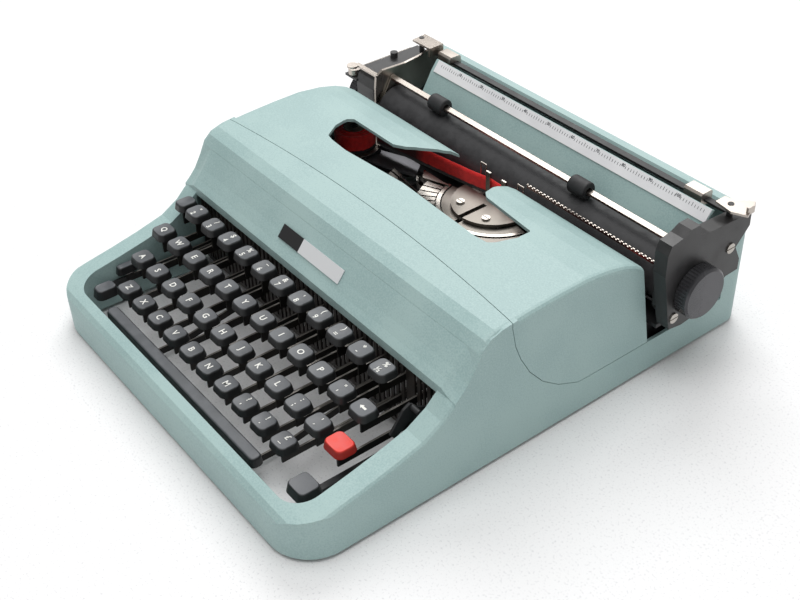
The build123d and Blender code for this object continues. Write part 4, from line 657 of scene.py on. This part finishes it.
# The tape is darkened towards black beyond its unshaded stretch (middle and reach), where it runs under the
# cover: painted shade
def inkedNylon(name, spec, coverShade=0.0):
    material, tree, place = startMaterial(name)
    spot = addNode(tree, "SeparateXYZ", links={"Vector": place})
    height = spot.outputs["Z"]
    wobble = addNode(tree, "TexNoise", {"Scale": perMm(spec["bleedMm"]), "Detail": 2.0}, {"Vector": place})
    blur = {"operation": "MULTIPLY_ADD", 1: spec["bleed"] * mm}
    edge = addNode(tree, "Math", blur, {0: wobble.outputs["Fac"], 2: height})
    low, high = spec["splitEdge"]
    edges = {"From Min": (spec["split"] + low) * mm, "From Max": (spec["split"] + high) * mm}
    upper = addNode(tree, "MapRange", edges, {"Value": edge.outputs["Value"]})
    stops = [(0.35, spec["redDeep"]), (0.65, spec["red"])]
    red = addNode(tree, "ValToRGB", links={"Fac": wobble.outputs["Fac"]}, stops=stops)
    tones = {"data_type": "RGBA", 6: linear(spec["black"])}
    colour = addNode(tree, "Mix", tones, {0: upper.outputs["Result"], 7: red.outputs["Color"]})
    middle, reach = spec["unshadedStretch"]
    across = addNode(tree, "Math", {"operation": "SUBTRACT", 1: middle * mm}, {0: spot.outputs["X"]})
    away = addNode(tree, "Math", {"operation": "ABSOLUTE"}, {0: across.outputs["Value"]})
    fade = {"From Min": reach * mm, "From Max": (reach + spec["coverShadeEdge"]) * mm, "To Max": coverShade}
    share = addNode(tree, "MapRange", fade, {"Value": away.outputs["Value"]})
    # darkening towards black beyond the stretch: painted shade
    coverShadeMix = {"data_type": "RGBA", 7: linear(spec["black"])}
    colour = addNode(tree, "Mix", coverShadeMix, {0: share.outputs["Result"], 6: colour.outputs[2]})
    weave = addNode(tree, "TexVoronoi", {"Scale": perMm(spec["threadMm"])}, {"Vector": place})
    cloth = {"Roughness": spec["roughness"], "Sheen Weight": spec["sheen"]}
    relief = (weave.outputs["Distance"], spec["relief"], mouldedDepth)
    endMaterial(tree, cloth, {"Base Color": colour.outputs[2]}, relief)
    return material


windingFinish = inkedNylon("inkedNylonWinding", ribbonSpec)
# the tape, darkened where it runs under the cover: painted shade
tapeFinish = inkedNylon("inkedNylonTape", ribbonSpec, coverShade=0.9)


# A smooth line through the points
def smoothLine(points, steps):
    line = []
    for i in range(len(points) - 1):
        p0, p1, p2, p3 = (Vector(points[max(0, min(len(points) - 1, i + k))]) for k in (-1, 0, 1, 2))
        for s in range(steps):
            t = s / steps
            square = 2 * p0 - 5 * p1 + 4 * p2 - p3
            cube = 3 * p1 - p0 - 3 * p2 + p3
            line.append(0.5 * (2 * p1 + (p2 - p0) * t + square * t * t + cube * t ** 3))
    line.append(Vector(points[-1]))
    return line


# Upright tape from spool to spool past the printing point, slightly wavy
def makeRibbonRun(spec):
    low, high, strips = spec["low"], spec["high"], spec["strips"]
    line = smoothLine([(x * mm, at(depth), 0) for x, depth in spec["plan"]], spec["steps"])
    tape = bmesh.new()
    rows = []
    for i, spot in enumerate(line):
        flex = spec["flex"] * math.sin(i * spec["flexTurn"]) * mm
        row = []
        for k in range(strips + 1):
            bend = flex * math.sin(k * math.pi / strips)
            height = (low + (high - low) * k / strips) * mm
            row.append(tape.verts.new((spot.x, spot.y - abs(bend), height)))
        rows.append(row)
    for a, b in zip(rows, rows[1:]):
        for k in range(strips):
            tape.faces.new((a[k], b[k], b[k + 1], a[k + 1]))
    mesh = bpy.data.meshes.new("ribbon_tape")
    tape.to_mesh(mesh)
    tape.free()
    piece = addPiece("ribbon_tape", mesh, "machine_frame", tapeFinish)
    solid = piece.modifiers.new("thickness", "SOLIDIFY")
    solid.thickness = spec["thickness"] * mm
    solid.offset = 0
    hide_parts("ribbon")


# Turns of tape on the spool, edges slightly uneven
windingSpec = {
    "inner": 6.5, "outer": 13.9, "turns": 18, "below": 0.4, "above": 0.3, "uneven": 0.28, "unevenTurn": 2.4,
    "step": 0.22, "wave": 0.12, "waves": 3, "level": 1.0, "sides": 72,
}


def makeWinding(name, body, node, spec):
    low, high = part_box(node)
    centreX = (low[0] + high[0]) / 2
    centreY = (low[1] + high[1]) / 2
    inner, outer, sides = spec["inner"], spec["outer"], spec["sides"]
    profile = []
    for i in range(spec["turns"] + 1):
        radius = inner + (outer - inner) * i / spec["turns"]
        step = spec["step"] if i % 2 else -spec["step"] / 2
        uneven = spec["uneven"] * math.sin(i * spec["unevenTurn"]) + step
        profile.append((radius * mm, high[2] + (uneven - spec["below"]) * mm))
    profile += [(radius * mm, low[2] + spec["above"] * mm) for radius in (outer, inner)]
    roll = bmesh.new()
    rings = []
    for k in range(sides):
        turn = 2 * math.pi * k / sides
        wave = spec["wave"] * mm * math.sin(turn * spec["waves"])
        ring = []
        for radius, height in profile:  # the foot of the roll stays level
            lift = wave if height > low[2] + spec["level"] * mm else 0
            spot = (centreX + radius * math.cos(turn), centreY + radius * math.sin(turn), height + lift)
            ring.append(roll.verts.new(spot))
        rings.append(ring)
    for k in range(sides):
        a, b = rings[k], rings[(k + 1) % sides]
        for j in range(len(profile)):
            m = (j + 1) % len(profile)
            roll.faces.new((a[j], a[m], b[m], b[j]))
    bmesh.ops.recalc_face_normals(roll, faces=roll.faces)
    mesh = bpy.data.meshes.new(name)
    roll.to_mesh(mesh)
    roll.free()
    piece = addPiece(name, mesh, body, windingFinish)
    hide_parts(node)


makeRibbonRun(ribbonSpec)
makeWinding("ribbon_turns_left", "left_spool", "ribbon_winding_left", windingSpec)
makeWinding("ribbon_turns_right", "right_spool", "ribbon_winding_right", windingSpec)
print("ribbon made")


# Type basket: three steel rings round the cap, parted in front of the middle typebar, a slotted comb at
# their left; the grey arm of the ribbon reverse beside the left spool and the bright guard behind the comb
basketSpec = {
    "centre": (6.0, 238.0), "split": 1.7, "steps": 30,
    "rings": [  # inner and outer radius, low and high in mm, start and end in degrees, finish
        (27.3, 33.4, 53.0, 54.4, -78, 78, "segmentSteel"), (34.2, 36.8, 53.0, 54.9, -78, 78, "barSteel"),
        (37.6, 46.0, 53.0, 54.2, -30, 78, "segmentSteel"),
    ],
    "comb": {
        "inner": 37.6, "outer": 50.0, "first": -75.4, "pitch": 6.86, "count": 6, "slot": 1.2,
        "low": 44.0, "high": 54.6,
    },
    "armHeights": (50.9, 52.1), "arm": [
        (-112, 215), (-95, 225), (-75, 233), (-63, 233.4), (-54.2, 222.5), (-75.6, 214.4), (-98.4, 209),
    ],
    "guardHeights": (55.0, 55.7), "guard": [(-52.3, 228.1), (-27, 228.2), (-32.3, 226.2), (-45.5, 221.5)],
}


# Point at a radius and angle about the segment's centre, moved sideways, as (x, depth)
def fanSpot(centre, radius, turn, shift):
    x = centre[0] + radius * math.sin(turn) + shift * math.cos(turn)
    return x, centre[1] - radius * math.cos(turn) + shift * math.sin(turn)


def makeRings(spec):
    centre = spec["centre"]
    for number, (inner, outer, low, high, start, end, finish) in enumerate(spec["rings"]):
        parts = []
        clear = math.asin(spec["split"] / inner)
        for side, reach in ((-1, start), (1, end)):  # each half ends square beside the middle typebar
            turns = [math.radians(reach * k / spec["steps"]) for k in range(1, spec["steps"] + 1)]
            spots = sorted([(0.0, side * spec["split"])] + [(t, 0.0) for t in turns if abs(t) > clear])
            outline = [fanSpot(centre, outer, *spot) for spot in spots]
            outline += [fanSpot(centre, inner, *spot) for spot in reversed(spots)]
            parts.append((sheetMesh("ring", outline, low, high), Matrix.Identity(4)))
        name = "basket_ring_" + str(number + 1)
        addPiece(name, joinMeshes(name, parts), "machine_frame", finish, smooth=False)


def makeComb(spec):
    comb = spec["comb"]
    parts = []
    for k in range(comb["count"]):
        outline = []
        for side in (1, -1):  # a tooth stands between the middles of two slots
            turn = math.radians(comb["first"] + comb["pitch"] * (k - side / 2))
            shift = side * comb["slot"] / 2
            ends = [fanSpot(spec["centre"], comb[key], turn, shift) for key in ("inner", "outer")]
            outline += ends[::side]
        parts.append((sheetMesh("tooth", outline, comb["low"], comb["high"]), Matrix.Identity(4)))
    name = "basket_comb"
    addPiece(name, joinMeshes(name, parts), "machine_frame", "barSteel", smooth=False)


def makePlates(spec):
    for name, key, finish in (("reverse_arm", "arm", "greySteel"), ("comb_guard", "guard", "barSteel")):
        plate = sheetMesh(name, spec[key], *spec[key + "Heights"])
        addPiece(name, plate, "machine_frame", finish, smooth=False)


makeRings(basketSpec)
makeComb(basketSpec)
makePlates(basketSpec)
print("basket made")
